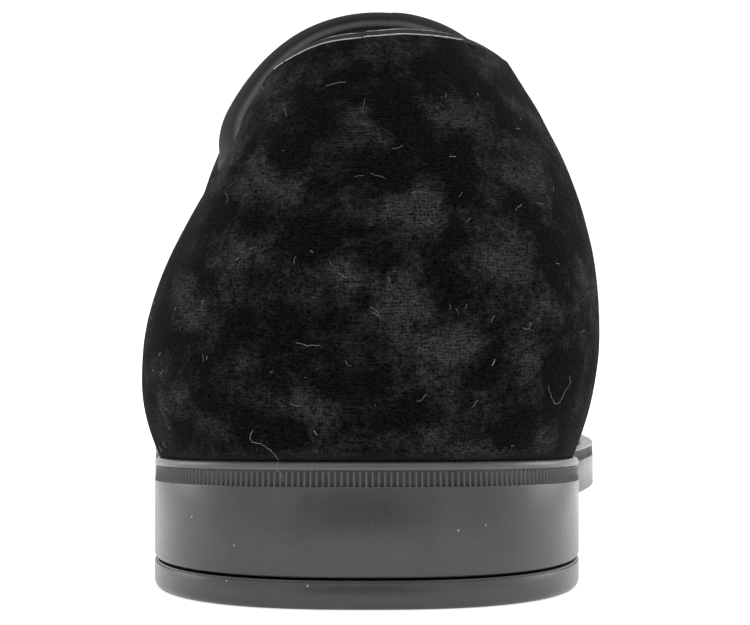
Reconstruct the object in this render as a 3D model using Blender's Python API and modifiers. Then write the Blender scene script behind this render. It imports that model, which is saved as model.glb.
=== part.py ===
"""A left slipper loafer in velvet, standing on its rubber heel and forepart.

+X is the medial side, +Y runs from heel to toe, and +Z is up. The pieces are drawn on the sole's own plan,
from the middle of the heel's back edge, and then moved so that the origin is on the floor under the middle
of the shoe. The upper is a hollow shell over the form of the last: fibres run from the featherline, over
the fullest line of the wall, to the ridge of the instep. Behind the throat the shell stops at the topline,
where a leather binding stands on the rim.
"""

import bisect
import math

import bmesh
import bpy
from mathutils import Vector

MM = 0.001

# Sizes of the sole, on the floor plan.
SOLE_LENGTH = 292 * MM
BALL_WIDTH = 103.4 * MM
HEEL_WIDTH = 65.4 * MM
HEEL_ROUND_LENGTH = 37 * MM
HEEL_SQUARENESS = 2.5
TOE_ROUND_LENGTH = 87 * MM
TOE_POINTEDNESS = 1.85
BREAST_PLACE = 72 * MM
BREAST_DRAFT = 0.6 * MM
BREAST_BOW = 4 * MM

# Sizes of the sole, upwards.
HEEL_HEIGHT = 20.6 * MM
BALL_HEIGHT = 10.8 * MM
TOE_SPRING = 9 * MM
ARCH_HEIGHT = 9 * MM
TOP_PIECE_THICKNESS = 4.1 * MM
TOP_PIECE_BEVEL = 0.7 * MM
WELT_THICKNESS = 3.4 * MM
WELT_LIP = 1.1 * MM
BAND_DEPTH = 0.35 * MM
EDGE_BEVEL = 0.8 * MM
INSOLE_THICKNESS = 3 * MM
INSOLE_EDGE = 1 * MM

# Sizes of the upper.
WALL = 2 * MM
WELT_SHELF_AT_HEEL = 0.9 * MM
WELT_SHELF_AT_BALL = 3.6 * MM
SHELF_UNDER_UPPER = 3 * MM
HEEL_POLE = 45 * MM
TOE_POLE = 255 * MM
THROAT_PLACE = 118 * MM
INSTEP_HEIGHT = 98.9 * MM
BACK_HEIGHT = 80.8 * MM
RIDGE_SHIFT = 4.5 * MM
FULLEST_BULGE = 13.5 * MM
FULLEST_HEIGHT = 30 * MM
BINDING_AT_HEEL = 2.2 * MM
BINDING_AT_THROAT = 4.3 * MM
BINDING_FLATNESS = 0.9
ROLL_START = 0.36
ROLL_END = 0.64
THROAT_FAN = 36 * MM

# Clearances: pieces that meet, and a piece that goes inside another.
GAP = 0.3 * MM
FIT = 0.5 * MM

# How far up a fibre its points lie: on the featherline, on the fullest line of the wall and on the ridge.
AT_FEATHERLINE = 0.0
AT_FULLEST = 1.0
AT_RIDGE = 2.0

# How finely the solids are divided.
RIM_STATIONS = 24
VAMP_STATIONS = 16
UPPER_ROWS = 12
SOLE_STATIONS = 40
SOLE_COLUMNS = 4
BINDING_SIDES = 8
LINE_SAMPLES = 48
SAME_PLACE = 0.01 * MM

# The sole's outline: along is a share of the sole's length. The centre line's sideways place is a share of
# the ball's width. Half the width there is a share of the heel's width and a share of the ball's width.
OUTLINE_NAMES = ("along", "centre", "heel_part", "ball_part")
OUTLINE_ROWS = (
    (0.00, 0.000, 0.50, 0.000),
    (0.13, 0.000, 0.50, 0.000),
    (0.25, -0.007, 0.45, 0.004),
    (0.35, -0.024, 0.25, 0.128),
    (0.43, -0.030, 0.14, 0.226),
    (0.51, -0.030, 0.06, 0.340),
    (0.58, -0.016, 0.00, 0.440),
    (0.64, 0.003, 0.00, 0.482),
    (0.70, 0.023, 0.00, 0.497),
    (0.78, 0.033, 0.00, 0.497),
    (1.00, 0.068, 0.00, 0.497),
)

# Heights along the sole. The seat falls from the heel to the ball, the toe springs up, and the arch rises
# under the waist. Each is a share of its own named height.
HEIGHT_NAMES = ("along", "seat", "spring", "arch")
HEIGHT_ROWS = (
    (0.000, 1.00, 0.00, 1.00),
    (0.125, 0.82, 0.00, 1.00),
    (0.250, 0.59, 0.00, 1.00),
    (0.345, 0.38, 0.00, 0.73),
    (0.445, 0.18, 0.00, 0.37),
    (0.550, 0.04, 0.00, 0.09),
    (0.620, 0.00, 0.00, 0.00),
    (0.725, 0.00, 0.00, 0.00),
    (0.800, 0.00, 0.09, 0.00),
    (0.890, 0.00, 0.38, 0.00),
    (0.960, 0.00, 0.74, 0.00),
    (1.000, 0.00, 1.00, 0.00),
)

# The ridge of the instep and vamp: along is a share of the sole's length, shift is a share of the ridge's
# sideways shift, and height is a share of the instep's height. Behind the throat the ridge is open air.
RIDGE_NAMES = ("along", "shift", "height")
RIDGE_ROWS = (
    (0.100, 0.10, 1.010),
    (0.155, 0.20, 1.010),
    (0.240, 0.55, 1.010),
    (0.330, 0.90, 1.010),
    (0.404, 1.00, 1.000),
    (0.462, 1.00, 0.925),
    (0.530, 0.95, 0.815),
    (0.610, 0.90, 0.690),
    (0.690, 0.90, 0.585),
    (0.770, 1.00, 0.505),
    (0.830, 1.15, 0.459),
    (0.873, 1.25, 0.430),
    (0.930, 1.40, 0.390),
)

# The wall's section on each side: along is the place of the fibre's foot as a share of the sole's length.
# Bulge is how far the wall stands out past the featherline and wide_at is how high above it, as shares of
# the fullest of each. Fullness is the exponent of the curve from there to the ridge.
WALL_NAMES = ("along", "bulge", "wide_at", "fullness")
LATERAL_ROWS = (
    (0.00, 0.24, 0.58, 1.75),
    (0.02, 0.24, 0.53, 1.30),
    (0.05, 0.25, 0.46, 0.74),
    (0.11, 0.26, 0.40, 0.66),
    (0.18, 0.28, 0.40, 0.96),
    (0.25, 0.32, 0.43, 1.45),
    (0.31, 0.40, 0.50, 2.10),
    (0.36, 0.44, 0.52, 2.22),
    (0.48, 0.35, 0.46, 2.15),
    (0.62, 0.26, 0.42, 2.15),
    (0.80, 0.20, 0.38, 2.20),
    (1.00, 0.12, 0.32, 2.30),
)
MEDIAL_ROWS = (
    (0.00, 0.24, 0.58, 1.75),
    (0.05, 0.34, 0.60, 1.46),
    (0.11, 0.40, 0.66, 1.28),
    (0.18, 0.50, 0.78, 1.30),
    (0.25, 0.76, 0.92, 1.50),
    (0.31, 0.93, 1.00, 1.72),
    (0.36, 1.00, 1.00, 1.82),
    (0.48, 0.72, 0.82, 2.05),
    (0.62, 0.32, 0.52, 2.15),
    (0.80, 0.20, 0.38, 2.20),
    (1.00, 0.12, 0.32, 2.30),
)

# The topline's rim: around is the way from the heel's back to the throat. Reach is the fibre there, as a
# share of the throat's. Lateral and medial are how far up that fibre the rim stands: 0 is as far as at the
# heel's back, and 1 is on the ridge.
RIM_NAMES = ("around", "reach", "lateral", "medial")
RIM_ROWS = (
    (0.00, 0.000, 0.00, 0.00),
    (0.04, 0.064, -0.017, 0.014),
    (0.10, 0.160, -0.07, 0.012),
    (0.26, 0.390, -0.18, -0.04),
    (0.42, 0.610, -0.27, -0.07),
    (0.55, 0.770, -0.29, -0.08),
    (0.66, 0.880, -0.21, -0.02),
    (0.76, 0.955, 0.02, 0.12),
    (0.86, 0.990, 0.39, 0.40),
    (0.93, 0.998, 0.68, 0.67),
    (1.00, 1.000, 1.00, 1.00),
)


def smooth_curve(xs, ys):
    """A smooth function through the points that never swings past them."""
    steps = [b - a for a, b in zip(xs, xs[1:])]
    slopes = [(b - a) / step for a, b, step in zip(ys, ys[1:], steps)]
    tangents = [slopes[0]]
    for before, after in zip(slopes, slopes[1:]):
        turns = before * after <= 0
        tangents.append(0.0 if turns else 2 * before * after / (before + after))
    tangents.append(slopes[-1])

    def value(x):
        x = min(max(x, xs[0]), xs[-1])
        k = min(bisect.bisect_right(xs, x), len(steps)) - 1
        t = (x - xs[k]) / steps[k]
        ends = ys[k] * (1 + 2 * t) * (1 - t) ** 2 + ys[k + 1] * t * t * (3 - 2 * t)
        bends = tangents[k] * t * (1 - t) ** 2 - tangents[k + 1] * t * t * (1 - t)
        return ends + steps[k] * bends

    return value


def curves_of(names, rows):
    """One smooth function of the first column for each other column of a table."""
    columns = list(zip(*rows))
    return {name: smooth_curve(columns[0], ys) for name, ys in zip(names[1:], columns[1:])}


OUTLINE = curves_of(OUTLINE_NAMES, OUTLINE_ROWS)
HEIGHTS = curves_of(HEIGHT_NAMES, HEIGHT_ROWS)
RIDGE = curves_of(RIDGE_NAMES, RIDGE_ROWS)
RIM = curves_of(RIM_NAMES, RIM_ROWS)
WALLS = {-1: curves_of(WALL_NAMES, LATERAL_ROWS), 1: curves_of(WALL_NAMES, MEDIAL_ROWS)}


def swept_place(turn):
    """How far along a fibre lies, from 0 at the heel to 1 at the toe, closer together at both ends."""
    return (1 - math.cos(math.pi * turn)) / 2


def turn_at(place):
    """The turn, from 0 to 1, at which swept_place gives this place."""
    return math.acos(1 - 2 * place) / math.pi


def outline_point(turn):
    """A point of the sole's outline: turn runs from -1 at the toe, along the lateral side, past 0 at the
    heel's back and along the medial side to 1 at the toe."""
    turn = (turn + 1) % 2 - 1
    y = SOLE_LENGTH * swept_place(abs(turn))
    along = y / SOLE_LENGTH
    half = OUTLINE["heel_part"](along) * HEEL_WIDTH + OUTLINE["ball_part"](along) * BALL_WIDTH
    heel_share = max(0.0, 1 - y / HEEL_ROUND_LENGTH)
    toe_share = max(0.0, 1 - (SOLE_LENGTH - y) / TOE_ROUND_LENGTH)
    half *= max(0.0, 1 - heel_share**HEEL_SQUARENESS) ** (1 / HEEL_SQUARENESS)
    half *= max(0.0, 1 - toe_share**TOE_POINTEDNESS) ** (1 / TOE_POINTEDNESS)
    centre = OUTLINE["centre"](along) * BALL_WIDTH
    return Vector((centre + math.copysign(half, turn), y))


def inset_point(turn, inset):
    """The outline's point moved straight in from the edge by inset."""
    step = 1e-3
    along_edge = (outline_point(turn + step) - outline_point(turn - step)).normalized()
    return outline_point(turn) + inset * Vector((-along_edge.y, along_edge.x))


def ramp(along):
    """0 under the heel and 1 under the ball, with a smooth rise between."""
    share = min(max((along - 0.2) / 0.4, 0.0), 1.0)
    return share * share * (3 - 2 * share)


def shelf_width(turn):
    """The width of the welt outside the upper."""
    share = ramp(swept_place(abs(turn)))
    return WELT_SHELF_AT_HEEL + (WELT_SHELF_AT_BALL - WELT_SHELF_AT_HEEL) * share


def seat_height(y):
    """The height of the welt's top, on which the upper stands."""
    along = y / SOLE_LENGTH
    seat = (HEEL_HEIGHT - BALL_HEIGHT) * HEIGHTS["seat"](along)
    return BALL_HEIGHT + seat + TOE_SPRING * HEIGHTS["spring"](along)


def tread_height(y):
    """The height of the sole's underside in front of the heel."""
    along = y / SOLE_LENGTH
    return ARCH_HEIGHT * HEIGHTS["arch"](along) + TOE_SPRING * HEIGHTS["spring"](along)


def ridge_point(y):
    """A point on the ridge of the instep and vamp."""
    along = y / SOLE_LENGTH
    return Vector((RIDGE_SHIFT * RIDGE["shift"](along), y, INSTEP_HEIGHT * RIDGE["height"](along)))


def ridge_slope(y):
    """How steeply the ridge rises towards the toe."""
    step = 0.5 * MM
    rise = ridge_point(y + step).z - ridge_point(y - step).z
    return rise / (2 * step)


def ridge_place(turn):
    """Where on the ridge the fibre of this turn ends."""
    return HEEL_POLE + (TOE_POLE - HEEL_POLE) * swept_place(abs(turn))


def fibre_form(turn):
    """A fibre's foot and top, with the slope of the ridge there and the shape of its wall."""
    edge = inset_point(turn, shelf_width(turn))
    foot = Vector((edge.x, edge.y, seat_height(edge.y) + GAP))
    top = ridge_point(ridge_place(turn))
    curves = WALLS[-1 if turn < 0 else 1]
    wall = {name: curve(foot.y / SOLE_LENGTH) for name, curve in curves.items()}
    reach = math.hypot(foot.x - top.x, foot.y - top.y)
    widest = 1 + FULLEST_BULGE * wall["bulge"] / reach
    wide_up = FULLEST_HEIGHT * wall["wide_at"] / (top.z - foot.z)
    return foot, top, widest, wide_up, wall["fullness"]


def last_point(turn, rise):
    """A point of the last's form on the fibre of this turn. Its rise is AT_FEATHERLINE, AT_FULLEST, AT_RIDGE
    or between them."""
    foot, top, widest, wide_up, fullness = fibre_form(turn)
    if rise < AT_FULLEST:
        out = 1 + (widest - 1) * (1 - (1 - rise) ** 2)
        up = wide_up * rise
    else:
        angle = math.pi / 2 * (min(rise, AT_RIDGE) - AT_FULLEST)
        out = widest * max(0.0, math.cos(angle)) ** (2 / fullness)
        up = wide_up + (1 - wide_up) * math.sin(angle)
    point = top.lerp(foot, out)
    crosswise = (foot.x - top.x) ** 2 / ((foot.x - top.x) ** 2 + (foot.y - top.y) ** 2)
    point.y += (foot.y - top.y) * crosswise * (out**2 - out)
    lean = ridge_slope(top.y) * (point.y - top.y) * (1 - min(out, 1.0) ** 2)
    return Vector((point.x, point.y, foot.z + (top.z - foot.z) * up + lean))


def form_normal(turn, rise):
    """The outward direction of the last's form."""
    step = 1e-3
    upwards = last_point(turn, rise) - last_point(turn, rise - step)
    forwards = last_point(turn + step, rise - step) - last_point(turn - step, rise - step)
    return forwards.cross(upwards).normalized()


def back_rise():
    """How far up the fibre at the heel's back the topline's rim stands."""
    foot, top, _, wide_up, _ = fibre_form(0.0)
    up = (BACK_HEIGHT - foot.z) / (top.z - foot.z)
    return AT_FULLEST + math.asin((up - wide_up) / (1 - wide_up)) * 2 / math.pi


def rim_place(around, side):
    """The turn and the rise of the topline's rim."""
    start = back_rise()
    share = RIM["lateral" if side < 0 else "medial"](around)
    return side * RIM["reach"](around) * THROAT_TURN, start + (AT_RIDGE - start) * share


def even_points(points, count):
    """The same line as count + 1 points at even distances."""
    lengths = [0.0]
    for before, after in zip(points, points[1:]):
        lengths.append(lengths[-1] + (after - before).length)
    evened = []
    for k in range(count + 1):
        wanted = lengths[-1] * k / count
        at = min(max(bisect.bisect_left(lengths, wanted), 1), len(points) - 1)
        share = (wanted - lengths[at - 1]) / max(lengths[at] - lengths[at - 1], 1e-12)
        evened.append(points[at - 1].lerp(points[at], share))
    return evened


def wall_line(foot_turn, top_turn, top_rise):
    """A line up the last's form, from the featherline to a place on the rim or the ridge."""
    points = []
    for k in range(LINE_SAMPLES + 1):
        share = k / LINE_SAMPLES
        turn = foot_turn + (top_turn - foot_turn) * share
        points.append(last_point(turn, AT_FEATHERLINE + (top_rise - AT_FEATHERLINE) * share))
    return even_points(points, UPPER_ROWS)


def side_lines(side):
    """The lines of one side of the upper, from the heel's back to the toe."""
    lines = []
    for k in range(RIM_STATIONS):
        around = k / RIM_STATIONS
        lines.append(wall_line(side * FAN_TURN * around, *rim_place(around, side)))
    for k in range(VAMP_STATIONS + 1):
        share = k / VAMP_STATIONS
        foot_turn = FAN_TURN + (1 - FAN_TURN) * share
        top_turn = THROAT_TURN + (1 - THROAT_TURN) * share
        lines.append(wall_line(side * foot_turn, side * top_turn, AT_RIDGE))
    return lines


def upper_form():
    """The upper's outer face, as lines in a loop round the foot."""
    return side_lines(1) + side_lines(-1)[-2:0:-1]


def rim_stations():
    """The places round the rim: from the throat along the medial side to the heel and back again."""
    medial = [(k / RIM_STATIONS, 1) for k in range(RIM_STATIONS, -1, -1)]
    lateral = [(k / RIM_STATIONS, -1) for k in range(1, RIM_STATIONS)]
    return medial + lateral


def new_object(name, bm, material):
    """A mesh object from a bmesh, with its faces turned outwards."""
    bmesh.ops.recalc_face_normals(bm, faces=bm.faces)
    mesh = bpy.data.meshes.new(name)
    bm.to_mesh(mesh)
    bm.free()
    mesh.materials.append(material)
    mesh.shade_smooth()
    mesh.set_sharp_from_angle(angle=math.radians(40))
    obj = bpy.data.objects.new(name, mesh)
    shoe.objects.link(obj)
    return obj


def new_material(name, colour, roughness):
    """A plain Principled material."""
    material = bpy.data.materials.new(name)
    material.use_nodes = True
    shader = material.node_tree.nodes["Principled BSDF"]
    shader.inputs["Base Color"].default_value = (*colour, 1)
    shader.inputs["Roughness"].default_value = roughness
    shader.inputs["Metallic"].default_value = 0
    return material


def bridge(bm, first, second):
    """Faces between two closed loops of as many corners."""
    count = len(first)
    for k in range(count):
        corners = [first[k], first[(k + 1) % count], second[(k + 1) % count], second[k]]
        bm.faces.new(corners)


def both_sides(turns):
    """The turns of one side as a closed loop: up the medial side and back down the lateral side."""
    return list(turns) + [-turn for turn in turns[-2:0:-1]]


def ring(bm, turns, inset, height):
    """A loop of corners round the sole, moved in by inset(turn), at height(y)."""
    corners = []
    for turn in both_sides(turns):
        point = inset_point(turn, inset(turn))
        corners.append(bm.verts.new((point.x, point.y, height(point.y))))
    return corners


def cross_row(bm, near, far, bow):
    """Corners on a line across the sole between two corners, bowed towards the heel."""
    between = []
    for k in range(1, SOLE_COLUMNS):
        share = k / SOLE_COLUMNS
        place = near.co.lerp(far.co, share)
        place.y -= bow * 4 * share * (1 - share)
        between.append(bm.verts.new(place))
    return [near, *between, far]


def cap(bm, loop, bows, end_row=None):
    """Closes a loop with strips from the heel to the toe, or to an end row that is already there."""
    last = len(loop) // 2 if end_row is None else bows["count"]
    rows = []
    for k in range(1, last):
        rows.append(cross_row(bm, loop[k], loop[-k], bows.get(k, 0.0)))
    if end_row is not None:
        rows.append(end_row)
    for before, after in zip(rows, rows[1:]):
        for k in range(SOLE_COLUMNS):
            bm.faces.new([before[k], before[k + 1], after[k + 1], after[k]])
    for k in range(SOLE_COLUMNS):
        bm.faces.new([loop[0], rows[0][k + 1], rows[0][k]])
        if end_row is None:
            bm.faces.new([loop[last], rows[-1][k], rows[-1][k + 1]])


def sole_turns():
    """The turns of the sole's stations, with the heel's breast between two of them."""
    breast = turn_at(BREAST_PLACE / SOLE_LENGTH)
    waist = turn_at((BREAST_PLACE + BREAST_DRAFT) / SOLE_LENGTH)
    heel_count = round(SOLE_STATIONS * breast)
    turns = [breast * k / heel_count for k in range(heel_count + 1)]
    front_count = SOLE_STATIONS - heel_count
    turns += [waist + (1 - waist) * k / front_count for k in range(front_count + 1)]
    return turns, heel_count


def welt_inner(turn):
    """How far in from the edge the welt's inner wall lies, under the upper."""
    return shelf_width(turn) + WALL + SHELF_UNDER_UPPER


def make_outsole(material):
    """The rubber unit: heel block, waist and forepart in one, with a raised bed inside the welt."""
    turns, breast = sole_turns()
    block_base = TOP_PIECE_THICKNESS + GAP
    heel_edge = BREAST_PLACE + BREAST_DRAFT / 2

    def base(y):
        return block_base if y < heel_edge else tread_height(y)

    def ledge(y):
        return seat_height(y) - WELT_THICKNESS - GAP

    bm = bmesh.new()
    levels = (
        (lambda turn: EDGE_BEVEL, base),
        (lambda turn: 0.0, lambda y: base(y) + EDGE_BEVEL),
        (lambda turn: 0.0, ledge),
        (lambda turn: welt_inner(turn) + GAP, ledge),
        (lambda turn: welt_inner(turn) + GAP, seat_height),
    )
    rings = [ring(bm, turns, inset, height) for inset, height in levels]
    for first, second in zip(rings, rings[1:]):
        bridge(bm, first, second)
    cap(bm, rings[0], {breast: BREAST_BOW, breast + 1: BREAST_BOW})
    cap(bm, rings[-1], {})
    return new_object("outsole", bm, material)


def make_top_piece(material):
    """The heel's top piece, the wearing lift on the floor."""
    turns, breast = sole_turns()
    heel = turns[: breast + 1]
    bm = bmesh.new()
    levels = (
        (TOP_PIECE_BEVEL, 0.0),
        (0.0, TOP_PIECE_BEVEL),
        (0.0, TOP_PIECE_THICKNESS - BAND_DEPTH),
        (BAND_DEPTH, TOP_PIECE_THICKNESS),
    )
    loops = []
    for inset, height in levels:
        medial = [inset_point(turn, inset) for turn in heel]
        lateral = [inset_point(-turn, inset) for turn in heel[:0:-1]]
        corners = [bm.verts.new((p.x, p.y - inset * (p.y > BREAST_PLACE - MM), height)) for p in medial]
        ends = [bm.verts.new((p.x, p.y - inset * (p.y > BREAST_PLACE - MM), height)) for p in lateral]
        end_row = cross_row(bm, corners[-1], ends[0], BREAST_BOW)
        loops.append((corners + end_row[1:-1] + ends, end_row))
    for (first, _), (second, _) in zip(loops, loops[1:]):
        bridge(bm, first, second)
    for loop, end_row in (loops[0], loops[-1]):
        cap(bm, loop, {"count": breast}, end_row)
    return new_object("top_piece", bm, material)


def make_welt(material):
    """The ribbed rand under the upper: a ring with a rounded lip over a shallow band."""
    turns, _ = sole_turns()
    bm = bmesh.new()
    base = -WELT_THICKNESS
    levels = (
        (welt_inner, base),
        (lambda turn: 0.0, base),
        (lambda turn: 0.0, base + BAND_DEPTH),
        (lambda turn: BAND_DEPTH, base + 2 * BAND_DEPTH),
        (lambda turn: BAND_DEPTH, -WELT_LIP - BAND_DEPTH),
        (lambda turn: 0.0, -WELT_LIP),
        (lambda turn: 0.1 * WELT_LIP, -0.45 * WELT_LIP),
        (lambda turn: 0.35 * WELT_LIP, -0.12 * WELT_LIP),
        (lambda turn: 0.75 * WELT_LIP, 0.0),
        (welt_inner, 0.0),
    )
    rings = [
        ring(bm, turns, inset, lambda y, lift=lift: seat_height(y) + lift) for inset, lift in levels
    ]
    for first, second in zip(rings, rings[1:] + rings[:1]):
        bridge(bm, first, second)
    return new_object("welt", bm, material)


def make_insole(material):
    """The leather-covered insole, lying on the outsole's bed inside the upper."""
    turns, _ = sole_turns()
    edge = WALL + FIT
    bm = bmesh.new()
    levels = (
        (lambda turn: shelf_width(turn) + edge, GAP),
        (lambda turn: shelf_width(turn) + edge, GAP + INSOLE_THICKNESS - INSOLE_EDGE),
        (lambda turn: shelf_width(turn) + edge + INSOLE_EDGE, GAP + INSOLE_THICKNESS),
    )
    rings = [
        ring(bm, turns, inset, lambda y, lift=lift: seat_height(y) + lift) for inset, lift in levels
    ]
    for first, second in zip(rings, rings[1:]):
        bridge(bm, first, second)
    cap(bm, rings[0], {})
    cap(bm, rings[-1], {})
    return new_object("insole", bm, material)


def make_upper(lines, material):
    """The velvet shell: open at the topline and underneath, with its wall to the inside."""
    bm = bmesh.new()
    rows = [[bm.verts.new(line[k]) for line in lines] for k in range(UPPER_ROWS + 1)]
    for first, second in zip(rows, rows[1:]):
        bridge(bm, first, second)
    bmesh.ops.remove_doubles(bm, verts=bm.verts, dist=SAME_PLACE)
    upper = new_object("upper", bm, material)
    wall = upper.modifiers.new("wall", "SOLIDIFY")
    wall.thickness = WALL
    wall.offset = -1
    wall.use_even_offset = True
    wall.use_quality_normals = True
    return upper


def binding_size(around):
    """How thick the binding is: thin round the heel and a full roll at the throat."""
    share = min(max((around - ROLL_START) / (ROLL_END - ROLL_START), 0.0), 1.0)
    return BINDING_AT_HEEL + (BINDING_AT_THROAT - BINDING_AT_HEEL) * share * share * (3 - 2 * share)


def make_binding(material):
    """The leather binding: a rolled edge standing on the upper's rim all round the opening."""
    stations = rim_stations()
    places = [rim_place(around, side) for around, side in stations]
    rim = [last_point(turn, rise) for turn, rise in places]
    bm = bmesh.new()
    loops = []
    for k, (turn, rise) in enumerate(places):
        along = (rim[(k + 1) % len(rim)] - rim[k - 1]).normalized()
        out = form_normal(turn, rise)
        up = along.cross(out).normalized()
        size = binding_size(stations[k][0])
        middle = rim[k] - out * WALL / 2 + up * (GAP + size * BINDING_FLATNESS / 2)
        corners = []
        for side in range(BINDING_SIDES):
            angle = 2 * math.pi * (side + 0.5) / BINDING_SIDES
            across = out * math.cos(angle) * size / 2
            lift = up * math.sin(angle) * size * BINDING_FLATNESS / 2
            corners.append(bm.verts.new(middle + across + lift))
        loops.append(corners)
    for first, second in zip(loops, loops[1:] + loops[:1]):
        bridge(bm, first, second)
    return new_object("topline_binding", bm, material)


def centre_on_floor(pieces):
    """Moves the pieces together, so that the origin is under the middle of the shoe."""
    corners = [vertex.co for piece in pieces for vertex in piece.data.vertices]
    for axis in (0, 1):
        middle = (min(corner[axis] for corner in corners) + max(corner[axis] for corner in corners)) / 2
        for piece in pieces:
            piece.location[axis] = -middle


THROAT_TURN = turn_at((THROAT_PLACE - HEEL_POLE) / (TOE_POLE - HEEL_POLE))
FAN_TURN = turn_at((THROAT_PLACE + THROAT_FAN) / SOLE_LENGTH)

for old in list(bpy.data.objects):
    bpy.data.objects.remove(old, do_unlink=True)
shoe = bpy.data.collections.new("slipper_loafer")
bpy.context.scene.collection.children.link(shoe)

velvet = new_material("black_velvet", (0.012, 0.012, 0.012), 0.9)
leather = new_material("black_leather", (0.02, 0.02, 0.02), 0.35)
rubber = new_material("dark_rubber", (0.07, 0.07, 0.07), 0.5)

make_upper(upper_form(), velvet)
make_binding(leather)
make_welt(rubber)
make_outsole(rubber)
make_top_piece(rubber)
make_insole(leather)
centre_on_floor(shoe.objects)
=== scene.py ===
"""Looks of the velvet slipper loafer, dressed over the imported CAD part.

The form of the last and the sole is the CAD source's own, sampled finer, so that every visible piece sits
where its CAD node is. All the lengths are in metres on the sole's plan, from the middle of the heel's back
edge, and each piece is moved to the frame's place as it is made.
"""

import bisect
import math
import random

import bmesh
import bpy
import numpy as np
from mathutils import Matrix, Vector, noise
from mathutils.bvhtree import BVHTree


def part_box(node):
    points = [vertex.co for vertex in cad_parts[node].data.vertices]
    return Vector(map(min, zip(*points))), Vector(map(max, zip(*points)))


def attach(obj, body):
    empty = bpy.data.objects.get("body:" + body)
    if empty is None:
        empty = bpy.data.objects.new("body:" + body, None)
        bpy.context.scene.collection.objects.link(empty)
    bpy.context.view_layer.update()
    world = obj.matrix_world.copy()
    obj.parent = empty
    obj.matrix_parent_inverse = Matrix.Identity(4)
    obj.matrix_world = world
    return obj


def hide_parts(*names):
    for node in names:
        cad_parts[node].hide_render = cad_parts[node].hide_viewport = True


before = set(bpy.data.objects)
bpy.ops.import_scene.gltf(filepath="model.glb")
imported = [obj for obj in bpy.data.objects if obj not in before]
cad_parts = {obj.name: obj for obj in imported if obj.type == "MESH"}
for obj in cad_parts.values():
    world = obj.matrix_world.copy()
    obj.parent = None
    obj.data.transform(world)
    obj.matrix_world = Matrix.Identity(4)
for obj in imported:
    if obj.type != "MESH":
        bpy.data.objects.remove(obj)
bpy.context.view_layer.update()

MM = 0.001

# Sizes of the sole and the upper, the same as in the CAD source
SOLE_LENGTH = 292 * MM
BALL_WIDTH = 103.4 * MM
HEEL_WIDTH = 65.4 * MM
HEEL_ROUND_LENGTH = 37 * MM
HEEL_SQUARENESS = 2.5
TOE_ROUND_LENGTH = 87 * MM
TOE_POINTEDNESS = 1.85
BREAST_PLACE = 72 * MM
BREAST_DRAFT = 0.6 * MM
BREAST_BOW = 4 * MM
HEEL_HEIGHT = 20.6 * MM
BALL_HEIGHT = 10.8 * MM
TOE_SPRING = 9 * MM
ARCH_HEIGHT = 9 * MM
TOP_PIECE_THICKNESS = 4.1 * MM
WELT_THICKNESS = 3.4 * MM
WELT_LIP = 1.1 * MM
BAND_DEPTH = 0.35 * MM
INSOLE_THICKNESS = 3 * MM
WALL = 2 * MM
WELT_SHELF_AT_HEEL = 0.9 * MM
WELT_SHELF_AT_BALL = 3.6 * MM
SHELF_UNDER_UPPER = 3 * MM
HEEL_POLE = 45 * MM
TOE_POLE = 255 * MM
THROAT_PLACE = 118 * MM
INSTEP_HEIGHT = 98.9 * MM
BACK_HEIGHT = 80.8 * MM
RIDGE_SHIFT = 4.5 * MM
FULLEST_BULGE = 13.5 * MM
FULLEST_HEIGHT = 30 * MM
BINDING_AT_HEEL = 2.2 * MM
BINDING_AT_THROAT = 4.3 * MM
BINDING_FLATNESS = 0.9
ROLL_START = 0.36
ROLL_END = 0.64
THROAT_FAN = 36 * MM
GAP = 0.3 * MM
FIT = 0.5 * MM

# The sole's outline, as in the CAD source
OUTLINE_NAMES = ("along", "centre", "heel_part", "ball_part")
OUTLINE_ROWS = (
    (0.00, 0.000, 0.50, 0.000),
    (0.13, 0.000, 0.50, 0.000),
    (0.25, -0.007, 0.45, 0.004),
    (0.35, -0.024, 0.25, 0.128),
    (0.43, -0.030, 0.14, 0.226),
    (0.51, -0.030, 0.06, 0.340),
    (0.58, -0.016, 0.00, 0.440),
    (0.64, 0.003, 0.00, 0.482),
    (0.70, 0.023, 0.00, 0.497),
    (0.78, 0.033, 0.00, 0.497),
    (1.00, 0.068, 0.00, 0.497),
)
HEIGHT_NAMES = ("along", "seat", "spring", "arch")
HEIGHT_ROWS = (
    (0.000, 1.00, 0.00, 1.00),
    (0.125, 0.82, 0.00, 1.00),
    (0.250, 0.59, 0.00, 1.00),
    (0.345, 0.38, 0.00, 0.73),
    (0.445, 0.18, 0.00, 0.37),
    (0.550, 0.04, 0.00, 0.09),
    (0.620, 0.00, 0.00, 0.00),
    (0.725, 0.00, 0.00, 0.00),
    (0.800, 0.00, 0.09, 0.00),
    (0.890, 0.00, 0.38, 0.00),
    (0.960, 0.00, 0.74, 0.00),
    (1.000, 0.00, 1.00, 0.00),
)
RIDGE_NAMES = ("along", "shift", "height")
RIDGE_ROWS = (
    (0.100, 0.10, 1.010),
    (0.155, 0.20, 1.010),
    (0.240, 0.55, 1.010),
    (0.330, 0.90, 1.010),
    (0.404, 1.00, 1.000),
    (0.462, 1.00, 0.925),
    (0.530, 0.95, 0.815),
    (0.610, 0.90, 0.690),
    (0.690, 0.90, 0.585),
    (0.770, 1.00, 0.505),
    (0.830, 1.15, 0.459),
    (0.873, 1.25, 0.430),
    (0.930, 1.40, 0.390),
)
WALL_NAMES = ("along", "bulge", "wide_at", "fullness")
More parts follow.
